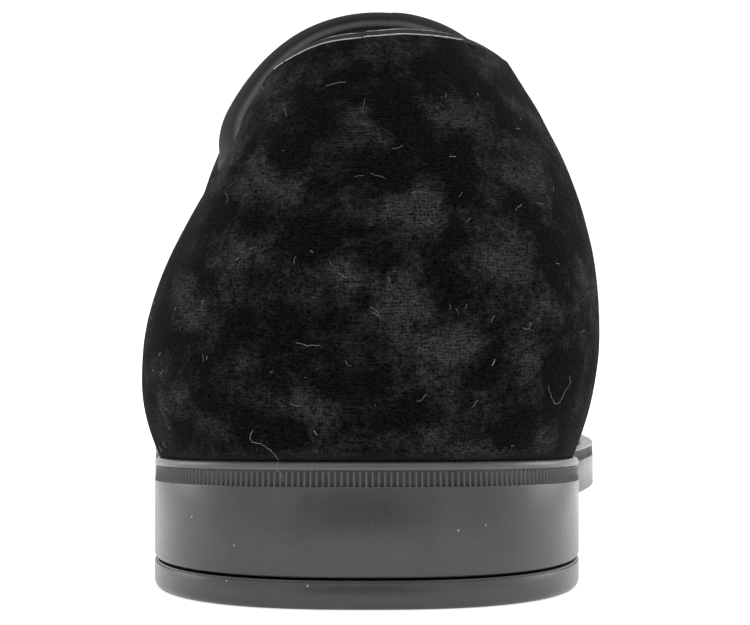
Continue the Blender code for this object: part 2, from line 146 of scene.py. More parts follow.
LATERAL_ROWS = (
    (0.00, 0.24, 0.58, 1.75),
    (0.02, 0.24, 0.53, 1.30),
    (0.05, 0.25, 0.46, 0.74),
    (0.11, 0.26, 0.40, 0.66),
    (0.18, 0.28, 0.40, 0.96),
    (0.25, 0.32, 0.43, 1.45),
    (0.31, 0.40, 0.50, 2.10),
    (0.36, 0.44, 0.52, 2.22),
    (0.48, 0.35, 0.46, 2.15),
    (0.62, 0.26, 0.42, 2.15),
    (0.80, 0.20, 0.38, 2.20),
    (1.00, 0.12, 0.32, 2.30),
)
MEDIAL_ROWS = (
    (0.00, 0.24, 0.58, 1.75),
    (0.05, 0.34, 0.60, 1.46),
    (0.11, 0.40, 0.66, 1.28),
    (0.18, 0.50, 0.78, 1.30),
    (0.25, 0.76, 0.92, 1.50),
    (0.31, 0.93, 1.00, 1.72),
    (0.36, 1.00, 1.00, 1.82),
    (0.48, 0.72, 0.82, 2.05),
    (0.62, 0.32, 0.52, 2.15),
    (0.80, 0.20, 0.38, 2.20),
    (1.00, 0.12, 0.32, 2.30),
)
RIM_NAMES = ("around", "reach", "lateral", "medial")
RIM_ROWS = (
    (0.00, 0.000, 0.00, 0.00),
    (0.04, 0.064, -0.017, 0.014),
    (0.10, 0.160, -0.07, 0.012),
    (0.26, 0.390, -0.18, -0.04),
    (0.42, 0.610, -0.27, -0.07),
    (0.55, 0.770, -0.29, -0.08),
    (0.66, 0.880, -0.21, -0.02),
    (0.76, 0.955, 0.02, 0.12),
    (0.86, 0.990, 0.39, 0.40),
    (0.93, 0.998, 0.68, 0.67),
    (1.00, 1.000, 1.00, 1.00),
)

# How finely the visible pieces are divided, and the distances of the upper's first and last rows from the
# featherline and the rim
RIM_STATIONS = 96
VAMP_STATIONS = 72
UPPER_ROWS = 56
FOOT_ROWS = (0.0, 0.25 * MM, 0.5 * MM, 0.8 * MM, 1.1 * MM, 1.4 * MM, 1.8 * MM, 2.4 * MM)
RIM_EDGE_ROWS = (0.7 * MM, 0.3 * MM, 0.0)
EVEN_FROM = 3.2 * MM
EVEN_TO = 1.2 * MM
LINE_SAMPLES = 110
SOLE_STATIONS = 170
SOLE_COLUMNS = 8
BINDING_SIDES = 40

# How far the throat's roll stands out past the wall on the lateral side, and over which part of the rim
# that grows
ROLL_STANDS_OUT = 1.4 * MM
STAND_START = 0.48
STAND_END = 0.74

# Over which part of the rim the fold turns into a grooved roll, and how square the fold is
GROOVES_START = 0.3
GROOVES_END = 0.6
FOLD_SQUARENESS = 0.16

# Grooves along the throat's roll: the angle from the outside, half width in degrees and share of depth
ROLL_GROOVES = (
    (80, 9, 0.22),
    (135, 10, 0.30),
)
# Half width in degrees of the painted highlight along the roll, about the middle between its two grooves
RIDGE_HIGHLIGHT_HALF_WIDTH = 20

# The velvet: pile over the CAD form, the tuck over the featherline, and how far it climbs over the
# collar: little at the back, where a strip of the collar shows, and more at the sides
PILE = 0.15 * MM
TUCK_HEIGHT = 1.3 * MM
TUCK_DEPTH = 0.28 * MM
VELVET_THICKNESS = 1.1 * MM
COLLAR_CLIMB = 0.22 * MM
SIDE_CLIMB = 1.6 * MM
STRIP_END = 0.17
MEDIAL_EDGE_END = 0.185
LATERAL_EDGE_END = 0.205
COLLAR_END = 0.62
CLIMB_REACH = 5 * MM
OVER_COLLAR = 0.3 * MM
SWELL = 0.10 * MM

# The pale edges of the collar's strip, pale by painted highlight together with their frayed fibres: the
# fold's place on the binding in degrees, how high the velvet's edge is, half widths, and how far they fray
FOLD_ANGLE = 58
VELVET_EDGE_LIFT = 0.18 * MM
FOLD_EDGE_RADIUS = 0.12 * MM
VELVET_EDGE_RADIUS = 0.09 * MM
FRAY = 0.06 * MM

# The velvet's woven rows, which show where the pile is pressed
ROW_PITCH = 0.47 * MM
COLUMN_PITCH = 0.55 * MM
WEAVE_DRIFT = 1.3 * MM

# The ribs of the rand
RIB_PITCH = 0.87 * MM
RIB_STEPS = 8
RIB_FLOOR = 0.64 * MM
RIB_RELIEF = 0.48 * MM
RIB_BACK = 0.3 * MM

# The section of a rib from its foot up: share of the band's height, and how far it is sunk
RIB_SECTION = (
    (0.00, -0.15),
    (0.08, -0.28),
    (0.20, -0.20),
    (0.38, 0.0),
    (0.80, 0.0),
    (0.92, 0.2),
    (1.00, 0.6),
)

# The lining and the sock inside
LINING_DEPTH = 1.35 * MM
LINING_THICKNESS = 0.6 * MM
LINING_ROWS = 30
STITCH_CHANNEL = 3.8 * MM
STITCH_PITCH = 3.0 * MM
STITCH_RADIUS = 0.2 * MM
STITCH_SHARES = (0.12, 0.5, 0.88)
STITCH_LIFTS = (-0.18 * MM, 0.02 * MM, -0.18 * MM)

# The view that the photograph has of the back: sideways, up and distance behind the heel, and the lens
VIEW_SIDEWAYS = 1.25 * MM
VIEW_HEIGHT = 41.3 * MM
VIEW_DISTANCE = 275 * MM
CAMERA_LENS = 95.4
SENSOR_WIDTH = 36

# The studio: how bright the room is, its tones from behind the camera (0) to behind the shoe (1), the
# floor's own light, and lights by place, size and power
ROOM_BRIGHTNESS = 1.25
ROOM_TONES = (
    (0.00, 0.02),
    (0.02, 0.03),
    (0.055, 1.00),
    (0.16, 0.84),
    (0.35, 0.88),
    (0.60, 1.00),
)
FLOOR_GLOW = 0.55
STUDIO_LIGHTS = (
    ("left_light", (-0.75, 0.15, 0.35), 0.5, 1.6),
    ("right_light", (0.75, 0.15, 0.35), 0.5, 2.2),
    ("top_light", (0.0, -0.15, 1.1), 0.8, 2.0),
)
LIGHTS_AIM = Vector((0.0, -0.05, 0.04))

# Patches of pressed pile on the back, seen from behind: sideways and up in millimetres, half width, half
# height, lean in degrees, and strength, which is below zero where the pile stands up and looks darker
PRESSED_PATCHES = (
    (5.5, 54.6, 3.6, 2.7, 0, 1.60),
    (15.5, 49.7, 3.0, 2.6, -25, 0.48),
    (6.1, 41.9, 3.6, 2.2, 10, 0.60),
    (8.3, 44.4, 3.0, 1.4, 30, 0.28),
    (14.9, 37.0, 3.0, 2.2, -15, 0.55),
    (10.5, 36.4, 2.4, 1.8, 0, 0.40),
    (-1.6, 69.5, 2.6, 2.6, 0, 0.55),
    (1.7, 65.4, 2.8, 1.6, 0, 0.50),
    (2.8, 76.2, 3.2, 2.0, 10, 0.35),
    (12.7, 68.4, 3.6, 2.2, 5, 0.50),
    (-13.2, 59.0, 3.8, 3.0, 10, 0.45),
    (-11.0, 69.5, 2.4, 1.6, 0, 0.35),
    (-18.8, 63.5, 1.4, 3.2, -25, 0.60),
    (-25.4, 43.6, 2.2, 3.4, 5, 0.70),
    (27.6, 41.4, 2.6, 3.0, 0, 0.55),
    (23.2, 50.8, 2.2, 2.6, -10, 0.50),
    (-2.8, 45.8, 3.4, 1.6, -35, 0.50),
    (-14.3, 48.0, 4.4, 1.6, -15, 0.40),
    (-6.1, 25.9, 3.2, 2.8, 10, 0.50),
    (-14.3, 29.2, 3.0, 2.0, -20, 0.50),
    (11.6, 24.8, 3.6, 2.6, 0, 0.60),
    (6.1, 31.4, 3.0, 1.6, 0, 0.35),
    (24.8, 24.8, 1.6, 2.8, 0, 0.50),
    (22.1, 32.0, 2.8, 2.2, 15, 0.50),
    (0.6, 34.8, 3.8, 2.0, 0, 0.30),
    (-19.9, 25.4, 2.6, 2.4, 0, 0.35),
    (29.8, 44.7, 1.6, 3.6, 0, 0.45),
    (25.4, 66.2, 1.2, 2.6, 0, 0.35),
    (-2.8, 72.8, 3.4, 2.6, 0, -0.50),
    (8.8, 75.3, 2.8, 2.4, 0, -0.70),
    (17.1, 72.6, 2.6, 2.6, 0, -0.45),
    (-7.2, 67.9, 3.2, 1.5, 40, -0.60),
    (-11.3, 63.2, 2.0, 1.6, 0, -0.50),
    (11.0, 62.6, 4.6, 1.6, 10, -0.70),
    (19.3, 67.3, 1.8, 2.6, 0, -0.50),
    (1.7, 69.5, 1.2, 2.6, 0, -0.35),
    (26.0, 49.1, 1.6, 3.6, 0, -0.60),
    (20.4, 55.7, 2.8, 2.0, -20, -0.55),
    (-5.0, 51.9, 3.6, 2.2, 0, -0.45),
    (-16.0, 53.5, 3.6, 2.0, 5, -0.55),
    (-8.8, 40.3, 3.8, 2.6, 0, -0.50),
    (-18.8, 37.5, 3.2, 2.4, 0, -0.50),
    (1.1, 48.0, 2.4, 2.2, 0, -0.40),
    (12.7, 44.1, 2.6, 1.4, -30, -0.45),
    (26.5, 34.8, 2.2, 3.2, 0, -0.85),
    (18.2, 24.5, 3.0, 2.4, 0, -0.90),
    (14.4, 32.0, 2.6, 1.6, 0, -0.45),
    (3.3, 25.9, 3.2, 1.3, 35, -0.65),
    (-11.0, 24.3, 3.4, 1.4, -10, -0.80),
    (-25.9, 24.3, 1.4, 2.4, 0, -0.80),
    (-6.1, 31.4, 2.6, 1.6, 0, -0.30),
    (-22.6, 46.9, 1.6, 2.2, 0, -0.50),
    (-16.8, 62.4, 1.0, 3.0, -20, -0.60),
    (26.6, 35.6, 2.8, 4.4, 10, -0.60),
    (-5.0, 71.5, 3.4, 2.4, 0, -0.45),
    (11.2, 70.2, 3.4, 2.8, 0, -0.30),
)
PATCH_REACH_SQUARED = 6
PATCH_WEIGHT = 0.46
EVEN_NAP = 0.42
BACK_START = 12 * MM
BACK_END = 40 * MM

# Noise that moves the patches' edges, in millimetres, and the mottle that the pile has everywhere, each as
# fineness and strength
PATCH_WARPS = ((230, 1.7), (620, 0.8))
MOTTLE = ((125, 0.34), (260, 0.24))

# Pale fibres of lint on the back, seen from behind: start sideways and up, and length, in millimetres, then
# the heading and how far it turns, in degrees
LINT_FIBRES = (
    (-5.5, 72.6, 2.8, 20, 60),
    (-0.4, 69.5, 1.4, 85, 20),
    (-11.0, 68.4, 1.3, 95, -30),
    (11.0, 71.0, 0.6, 80, 0),
    (-11.6, 63.7, 0.3, 0, 0),
    (0.6, 60.6, 2.2, -25, 50),
    (-1.6, 60.0, 1.4, 25, -20),
    (3.6, 64.0, 1.6, -10, 60),
    (-19.3, 56.4, 1.6, 60, 90),
    (8.4, 54.3, 1.2, -45, 30),
    (23.7, 56.5, 0.9, -30, 0),
    (20.7, 55.4, 1.2, 60, -60),
    (13.8, 53.7, 0.9, 45, 0),
    (-16.0, 50.1, 0.3, 0, 0),
    (-9.9, 48.0, 1.1, 100, -50),
    (-3.9, 46.8, 1.6, -20, 40),
    (0.6, 42.1, 1.8, -25, -30),
    (0.8, 41.4, 1.3, -35, 0),
    (-9.7, 37.2, 1.8, -30, 50),
    (-8.0, 36.7, 1.6, 10, 40),
    (11.6, 41.6, 0.8, 80, 0),
    (12.4, 41.9, 0.9, -60, 0),
    (13.7, 41.8, 0.7, 60, 0),
    (17.3, 40.0, 1.0, 70, 0),
    (22.6, 40.0, 1.9, -60, -70),
    (29.7, 38.5, 0.6, 40, 0),
    (-13.2, 33.0, 0.4, 30, 0),
    (-8.5, 32.3, 0.4, 10, 0),
    (7.0, 29.1, 1.8, -15, 70),
    (14.6, 28.1, 1.4, 50, 30),
    (-10.5, 28.7, 1.8, -20, 80),
    (-22.6, 42.5, 0.8, 80, 0),
    (-22.5, 34.5, 1.0, 75, 30),
    (-2.8, 34.7, 1.2, -70, 40),
    (-28.4, 32.8, 0.8, 50, 0),
    (-14.2, 72.1, 0.9, 100, 60),
    (-13.8, 72.7, 0.7, 150, -40),
    (-5.0, 48.3, 0.7, -60, 0),
    (3.2, 45.5, 0.8, 80, 0),
    (6.4, 57.8, 0.5, 40, 0),
)

# Two longer threads, as the places they pass, sideways and up in millimetres
LONG_THREADS = (
    (
        (-15.6, 25.1), (-16.0, 24.1), (-15.6, 23.4), (-14.6, 23.2), (-13.7, 22.7), (-12.7, 21.8),
        (-12.1, 20.8), (-12.3, 19.8), (-11.9, 19.2), (-11.4, 18.0),
    ),
    ((28.0, 32.5), (28.2, 31.7), (27.5, 30.5), (26.6, 28.8), (26.1, 28.7), (25.5, 29.9), (25.1, 31.2)),
)
FIBRE_RADIUS = 0.026 * MM
FIBRE_LIFT = 0.06 * MM
THREAD_RADIUS = 0.032 * MM
THREAD_LIFT = 0.12 * MM
LINT_BREAK = 1.5 * MM
SCATTERED_LINT = 260
SCATTERED_LENGTHS = (0.12 * MM, 0.2 * MM, 0.5 * MM, 0.9 * MM)

# Soft troughs across the vamp where the foot bends: along the sole, depth, half width, and sideways slant
VAMP_CREASES = (
    (196 * MM, 0.45 * MM, 4.5 * MM, 0.10),
    (207 * MM, 0.60 * MM, 5.0 * MM, 0.16),
    (219 * MM, 0.35 * MM, 4.0 * MM, 0.22),
)
CREASES_FROM = 28 * MM
CREASES_FULL = 46 * MM


def smooth_curve(xs, ys):
    """A smooth function through the points that never swings past them."""
    steps = [b - a for a, b in zip(xs, xs[1:])]
    slopes = [(b - a) / step for a, b, step in zip(ys, ys[1:], steps)]
    tangents = [slopes[0]]
    for before, after in zip(slopes, slopes[1:]):
        turns = before * after <= 0
        tangents.append(0.0 if turns else 2 * before * after / (before + after))
    tangents.append(slopes[-1])

    def value(x):
        x = min(max(x, xs[0]), xs[-1])
        k = min(bisect.bisect_right(xs, x), len(steps)) - 1
        t = (x - xs[k]) / steps[k]
        ends = ys[k] * (1 + 2 * t) * (1 - t) ** 2 + ys[k + 1] * t * t * (3 - 2 * t)
        bends = tangents[k] * t * (1 - t) ** 2 - tangents[k + 1] * t * t * (1 - t)
        return ends + steps[k] * bends

    return value


def curves_of(names, rows):
    """One smooth function of the first column for each other column of a table."""
    columns = list(zip(*rows))
    return {name: smooth_curve(columns[0], ys) for name, ys in zip(names[1:], columns[1:])}


OUTLINE = curves_of(OUTLINE_NAMES, OUTLINE_ROWS)
HEIGHTS = curves_of(HEIGHT_NAMES, HEIGHT_ROWS)
RIDGE = curves_of(RIDGE_NAMES, RIDGE_ROWS)
RIM = curves_of(RIM_NAMES, RIM_ROWS)
WALLS = {-1: curves_of(WALL_NAMES, LATERAL_ROWS), 1: curves_of(WALL_NAMES, MEDIAL_ROWS)}


def swept_place(turn):
    """How far along a fibre lies, from 0 at the heel to 1 at the toe, closer together at both ends."""
    return (1 - math.cos(math.pi * turn)) / 2


def turn_at(place):
    """The turn, from 0 to 1, at which swept_place gives this place."""
    return math.acos(1 - 2 * place) / math.pi


THROAT_TURN = turn_at((THROAT_PLACE - HEEL_POLE) / (TOE_POLE - HEEL_POLE))
FAN_TURN = turn_at((THROAT_PLACE + THROAT_FAN) / SOLE_LENGTH)


def outline_point(turn):
    """A point of the sole's outline: turn runs from -1 at the toe, along the lateral side, past 0 at the
    heel's back and along the medial side to 1 at the toe."""
    turn = (turn + 1) % 2 - 1
    y = SOLE_LENGTH * swept_place(abs(turn))
    along = y / SOLE_LENGTH
    half = OUTLINE["heel_part"](along) * HEEL_WIDTH + OUTLINE["ball_part"](along) * BALL_WIDTH
    heel_share = max(0.0, 1 - y / HEEL_ROUND_LENGTH)
    toe_share = max(0.0, 1 - (SOLE_LENGTH - y) / TOE_ROUND_LENGTH)
    half *= max(0.0, 1 - heel_share**HEEL_SQUARENESS) ** (1 / HEEL_SQUARENESS)
    half *= max(0.0, 1 - toe_share**TOE_POINTEDNESS) ** (1 / TOE_POINTEDNESS)
    centre = OUTLINE["centre"](along) * BALL_WIDTH
    return Vector((centre + math.copysign(half, turn), y))


def inset_point(turn, inset):
    """The outline's point moved straight in from the edge by inset."""
    step = 1e-3
    along_edge = (outline_point(turn + step) - outline_point(turn - step)).normalized()
    return outline_point(turn) + inset * Vector((-along_edge.y, along_edge.x))


def ramp(along):
    """0 under the heel and 1 under the ball, with a smooth rise between."""
    share = min(max((along - 0.2) / 0.4, 0.0), 1.0)
    return share * share * (3 - 2 * share)


def shelf_width(turn):
    """The width of the welt outside the upper."""
    share = ramp(swept_place(abs(turn)))
    return WELT_SHELF_AT_HEEL + (WELT_SHELF_AT_BALL - WELT_SHELF_AT_HEEL) * share


def seat_height(y):
    """The height of the welt's top, on which the upper stands."""
    along = y / SOLE_LENGTH
    seat = (HEEL_HEIGHT - BALL_HEIGHT) * HEIGHTS["seat"](along)
    return BALL_HEIGHT + seat + TOE_SPRING * HEIGHTS["spring"](along)


def tread_height(y):
    """The height of the sole's underside in front of the heel."""
    along = y / SOLE_LENGTH
    return ARCH_HEIGHT * HEIGHTS["arch"](along) + TOE_SPRING * HEIGHTS["spring"](along)


def ridge_point(y):
    """A point on the ridge of the instep and vamp."""
    along = y / SOLE_LENGTH
    return Vector((RIDGE_SHIFT * RIDGE["shift"](along), y, INSTEP_HEIGHT * RIDGE["height"](along)))


def ridge_slope(y):
    """How steeply the ridge rises towards the toe."""
    step = 0.5 * MM
    rise = ridge_point(y + step).z - ridge_point(y - step).z
    return rise / (2 * step)


def ridge_place(turn):
    """Where on the ridge the fibre of this turn ends."""
    return HEEL_POLE + (TOE_POLE - HEEL_POLE) * swept_place(abs(turn))


def fibre_form(turn):
    """A fibre's foot and top, with the slope of the ridge there and the shape of its wall."""
    edge = inset_point(turn, shelf_width(turn))
    foot = Vector((edge.x, edge.y, seat_height(edge.y) + GAP))
    top = ridge_point(ridge_place(turn))
    curves = WALLS[-1 if turn < 0 else 1]
    wall = {name: curve(foot.y / SOLE_LENGTH) for name, curve in curves.items()}
    reach = math.hypot(foot.x - top.x, foot.y - top.y)
    widest = 1 + FULLEST_BULGE * wall["bulge"] / reach
    wide_up = FULLEST_HEIGHT * wall["wide_at"] / (top.z - foot.z)
    return foot, top, widest, wide_up, wall["fullness"]


def last_point(turn, rise):
    """A point of the last's form on the fibre of this turn: rise is 0 at the featherline, 1 at the fullest
    line of the wall and 2 on the ridge."""
    foot, top, widest, wide_up, fullness = fibre_form(turn)
    if rise < 1:
        out = 1 + (widest - 1) * (1 - (1 - rise) ** 2)
        up = wide_up * rise
    else:
        angle = math.pi / 2 * (min(rise, 2.0) - 1)
        out = widest * max(0.0, math.cos(angle)) ** (2 / fullness)
        up = wide_up + (1 - wide_up) * math.sin(angle)
    point = top.lerp(foot, out)
    crosswise = (foot.x - top.x) ** 2 / ((foot.x - top.x) ** 2 + (foot.y - top.y) ** 2)
    point.y += (foot.y - top.y) * crosswise * (out**2 - out)
    lean = ridge_slope(top.y) * (point.y - top.y) * (1 - min(out, 1.0) ** 2)
    return Vector((point.x, point.y, foot.z + (top.z - foot.z) * up + lean))


def form_normal(turn, rise):
    """The outward direction of the last's form."""
    step = 1e-3
    upwards = last_point(turn, rise) - last_point(turn, rise - step)
    forwards = last_point(turn + step, rise - step) - last_point(turn - step, rise - step)
    return forwards.cross(upwards).normalized()


def back_rise():
    """How far up the fibre at the heel's back the topline's rim stands."""
    foot, top, _, wide_up, _ = fibre_form(0.0)
    up = (BACK_HEIGHT - foot.z) / (top.z - foot.z)
    return 1 + math.asin((up - wide_up) / (1 - wide_up)) * 2 / math.pi


def rim_place(around, side):
    """The turn and the rise of the topline's rim."""
    start = back_rise()
    share = RIM["lateral" if side < 0 else "medial"](around)
    return side * RIM["reach"](around) * THROAT_TURN, start + (2 - start) * share


def smooth_share(value, low, high):
    """0 at low, 1 at high and an even S between."""
    share = min(max((value - low) / (high - low), 0.0), 1.0)
    return share * share * (3 - 2 * share)


def plan_origin():
    """Where the middle of the heel's back edge lies in the frame."""
    edge = [outline_point(k / 400) for k in range(-400, 401)]
    low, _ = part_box("welt")
    return Vector((low.x - min(point.x for point in edge), low.y, 0.0))


# Meshes and pieces


def points_at(points, places):
    """The points of a line at these distances from its start."""
    lengths = [0.0]
    for before, after in zip(points, points[1:]):
        lengths.append(lengths[-1] + (after - before).length)
    found = []
    for place in places(lengths[-1]):
        at = min(max(bisect.bisect_left(lengths, place), 1), len(points) - 1)
        share = (place - lengths[at - 1]) / max(lengths[at] - lengths[at - 1], 1e-12)
        found.append(points[at - 1].lerp(points[at], share))
    return found


def new_piece(name, points, faces, material, nodes=(), sharp=50):
    """A smooth mesh object riding on the part's one body, in place of these CAD nodes."""
    bm = bmesh.new()
    corners = [bm.verts.new(ORIGIN + Vector(point)) for point in points]
    for face in faces:
        bm.faces.new([corners[k] for k in face])
    bmesh.ops.recalc_face_normals(bm, faces=bm.faces)
    mesh = bpy.data.meshes.new(name)
    bm.to_mesh(mesh)
    bm.free()
    mesh.materials.append(material)
    mesh.shade_smooth()
    mesh.set_sharp_from_angle(angle=math.radians(sharp))
    obj = bpy.data.objects.new(name, mesh)
    bpy.context.scene.collection.objects.link(obj)
    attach(obj, "root")
    if nodes:
        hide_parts(*nodes)
    return obj


def loop_faces(loops, count, closed=False):
    """Faces between loops of count corners that follow each other in the list of points."""
    faces = []
    pairs = [(k, k + 1) for k in range(loops - 1)]
    if closed:
        pairs.append((loops - 1, 0))
    for first, second in pairs:
        for k in range(count):
            after = (k + 1) % count
            low, high = first * count, second * count
            faces.append((low + k, low + after, high + after, high + k))
    return faces


def row_across(points, near, far, bow=0.0):
    """Adds points between two corners of a loop, bowed back by bow, and returns the whole row."""
    row = [near]
    for column in range(1, SOLE_COLUMNS):
        share = column / SOLE_COLUMNS
        place = Vector(points[near]).lerp(Vector(points[far]), share)
        place.y -= bow * 4 * share * (1 - share)
        row.append(len(points))
        points.append(place)
    return row + [far]


def fill_rows(faces, start, rows):
    """Faces between rows across the sole, and from the first row to the corner at the heel's back."""
    for before, after in zip(rows, rows[1:]):
        for k in range(SOLE_COLUMNS):
            faces.append((before[k], before[k + 1], after[k + 1], after[k]))
    for k in range(SOLE_COLUMNS):
        faces.append((start, rows[0][k + 1], rows[0][k]))


def add_cap(points, faces, start, count, bows=None):
    """Closes the loop that starts at this index with strips across, from the heel to the toe."""
    rows = []
    for k in range(1, count // 2):
        bow = bows(points[start + k].y) if bows else 0.0
        rows.append(row_across(points, start + k, start + count - k, bow))
    fill_rows(faces, start, rows)
    for k in range(SOLE_COLUMNS):
        faces.append((start + count // 2, rows[-1][k], rows[-1][k + 1]))


def both_sides(turns):
    """The turns of one side as a closed loop: up the medial side and back down the lateral side."""
    return list(turns) + [-turn for turn in turns[-2:0:-1]]


def sole_loops(turns, levels, margin, height):
    """A loop round the sole for each level's inset past margin(turn) and lift above height(y)."""
    loops = []
    for inset, lift in levels:
        for turn in turns:
            point = inset_point(turn, margin(turn) + inset)
            loops.append(Vector((point.x, point.y, height(point.y) + lift)))
    return loops


def at_edge(turn):
    """The margin of a loop that follows the sole's own edge."""
    return 0.0


def under_upper(turn):
    """The margin of the opening under the upper, in which the outsole's bed stands."""
    return shelf_width(turn) + WALL + SHELF_UNDER_UPPER


def sole_turns():
    """The turns of the sole's stations, with the heel's breast between two of them."""
    breast = turn_at(BREAST_PLACE / SOLE_LENGTH)
    waist = turn_at((BREAST_PLACE + BREAST_DRAFT) / SOLE_LENGTH)
    heel_count = round(SOLE_STATIONS * breast)
    turns = [breast * k / heel_count for k in range(heel_count + 1)]
    front_count = SOLE_STATIONS - heel_count
    turns += [waist + (1 - waist) * k / front_count for k in range(front_count + 1)]
    return turns, heel_count


# Shader maths


class Number:
    """A socket's number: arithmetic on it adds Math nodes to its finish."""

    def __init__(self, finish, socket):
        self.finish = finish
        self.socket = socket

    def maths(self, operation, *values, clamp=False):
        """A Math node of this operation on the values."""
        settings = {"operation": operation, "use_clamp": clamp}
        return self.finish.add("ShaderNodeMath", settings, dict(enumerate(values)))

    def __add__(self, other):
        return self.maths("ADD", self, other)

    def __radd__(self, other):
        return self.maths("ADD", other, self)

    def __sub__(self, other):
        return self.maths("SUBTRACT", self, other)

    def __rsub__(self, other):
        return self.maths("SUBTRACT", other, self)

    def __mul__(self, other):
        return self.maths("MULTIPLY", self, other)

    def __rmul__(self, other):
        return self.maths("MULTIPLY", other, self)

    def __gt__(self, other):
        return self.maths("GREATER_THAN", self, other)

    def held(self):
        """The number kept between 0 and 1."""
        return self.maths("ADD", self, 0.0, clamp=True)


def set_stops(color_ramp, stops):
    """Gives a ramp its stops, each a place and a grey."""
    while len(color_ramp.elements) < len(stops):
        color_ramp.elements.new(1.0)
    for element, (place, grey) in zip(color_ramp.elements, stops):
        element.position = place
        element.color = (grey, grey, grey, 1)


class Finish:
    """A material whose nodes are added by short calls."""

    def __init__(self, name):
        self.material = bpy.data.materials.new(name)
        self.material.use_nodes = True
        self.tree = self.material.node_tree
        self.shader = self.tree.nodes["Principled BSDF"]

    def add(self, kind, settings=None, inputs=None, output=0):
        """Adds a node, sets it up, gives its sockets values or links, and returns one of its outputs."""
        node = self.tree.nodes.new(kind)
        for name, value in (settings or {}).items():
            if name == "stops":
                set_stops(node.color_ramp, value)
            else:
                setattr(node, name, value)
        for key, value in (inputs or {}).items():
            self.feed(node.inputs[key], value)
        return Number(self, node.outputs[output])

    def feed(self, socket, value):
        """Links a number to a socket, or sets the socket's own value."""
        if isinstance(value, Number):
            self.tree.links.new(value.socket, socket)
        else:
            socket.default_value = value

    def set(self, **values):
        """Sets or links sockets of the Principled shader, named with underscores for spaces."""
        for name, value in values.items():
            self.feed(self.shader.inputs[name.replace("_", " ")], value)

    def place(self):
        """The point on the surface, in the frame's metres."""
        return self.add("ShaderNodeTexCoord", {}, {}, "Object")

    def stretched(self, vector, scale):
        """A vector with each part scaled."""
        return self.add("ShaderNodeMapping", {}, {"Vector": vector, "Scale": scale})

    def noise(self, vector, scale, detail=3.0, roughness=0.5, distortion=0.0):
        """Noise about 0.5, with features of about 1 / scale."""
        inputs = {"Vector": vector, "Scale": scale, "Detail": detail}
        inputs.update({"Roughness": roughness, "Distortion": distortion})
        return self.add("ShaderNodeTexNoise", {}, inputs)

    def cells(self, vector, scale):
        """Distance to the nearest of scattered points."""
        return self.add("ShaderNodeTexVoronoi", {}, {"Vector": vector, "Scale": scale})

    def waves(self, vector, pitch, direction="X"):
        """Even waves from 0 to 1 along one axis, this far apart."""
        settings = {"wave_type": "BANDS", "bands_direction": direction}
        inputs = {"Vector": vector, "Scale": math.pi / 10 / pitch}
        return self.add("ShaderNodeTexWave", settings, inputs)

    def attribute(self, name):
        """A number stored on the mesh's points."""
        return self.add("ShaderNodeAttribute", {"attribute_name": name}, {}, "Fac")

    def ramp(self, value, stops):
        """A number turned into a tone by stops."""
        return self.add("ShaderNodeValToRGB", {"stops": stops}, {0: value})

    def mix(self, share, first, second):
        """Two colours mixed by a share."""
        inputs = {0: share, 6: first, 7: second}
        return self.add("ShaderNodeMix", {"data_type": "RGBA"}, inputs, 2)

    def bump(self, height, distance, strength=1.0, normal=None):
        """A bumped normal from a height of 0 to 1 that stands for this distance."""
        inputs = {"Height": height, "Distance": distance, "Strength": strength}
        if normal:
            inputs["Normal"] = normal
        return self.add("ShaderNodeBump", {}, inputs)


def tone(value):
    """A grey as a colour."""
    return (value, value, value, 1)


def velvet_finish():
    """Black crushed velvet: pressed patches lie lighter and show their woven rows."""
    finish = Finish("crushed_velvet")
    place = finish.place()
    cloth = finish.add("ShaderNodeUVMap", {"uv_map": "cloth"})
    nap = finish.attribute("nap")
    shade = finish.attribute("featherline")
    ragged = finish.noise(place, 330, 4, 0.65, 0.4)
    mottle = finish.noise(place, 900, 3, 0.6)
    fine = finish.noise(place, 3000, 2, 0.65)
    dashes = finish.noise(finish.stretched(cloth, (1100, 2500, 1)), 1.0, 2, 0.6)
    lay = nap + (ragged - 0.5) * 0.8 + (mottle - 0.5) * 0.4
    pressed = finish.ramp(lay, [(0.30, 0.0), (0.48, 0.30), (0.74, 1.0)])
    drift = finish.add("ShaderNodeTexNoise", {}, {"Vector": place, "Scale": 300.0}, 1)
    bend = {"operation": "MULTIPLY_ADD"}
    bent = finish.add("ShaderNodeVectorMath", bend, {0: drift, 1: (WEAVE_DRIFT,) * 3, 2: cloth})
    rows = finish.waves(bent, ROW_PITCH, "Y")
    columns = finish.waves(bent, COLUMN_PITCH, "X")
    weave = rows * 0.62 + columns * 0.38
    grain = (fine - 0.5) * 2.4 + (dashes - 0.5) * 2.0 + 0.5
    pile = (grain * 0.62 + (weave - 0.4) * (pressed * 0.34) + (mottle - 0.5) * 0.5 + 0.05).held()
    light = finish.mix(pile, tone(0.0017), tone(0.052))
    dark = finish.mix((grain * 0.8 + (weave - 0.5) * 0.3).held(), tone(0.0002), tone(0.0070))
    # Painted shade: over the featherline's strip the velvet's colour fades into an even dark grey, for the
    # shaded tuck above the rand
    colour = finish.mix(shade, finish.mix(pressed, dark, light), tone(0.012))
    finish.set(
        Base_Color=colour,
        Roughness=0.95,
        Normal=finish.bump(pile, 0.00018, 0.8),
        Sheen_Weight=0.015,
        Sheen_Roughness=0.5,
        Sheen_Tint=(0.5, 0.5, 0.5, 1),
        Specular_IOR_Level=0.03,
    )
    return finish.material


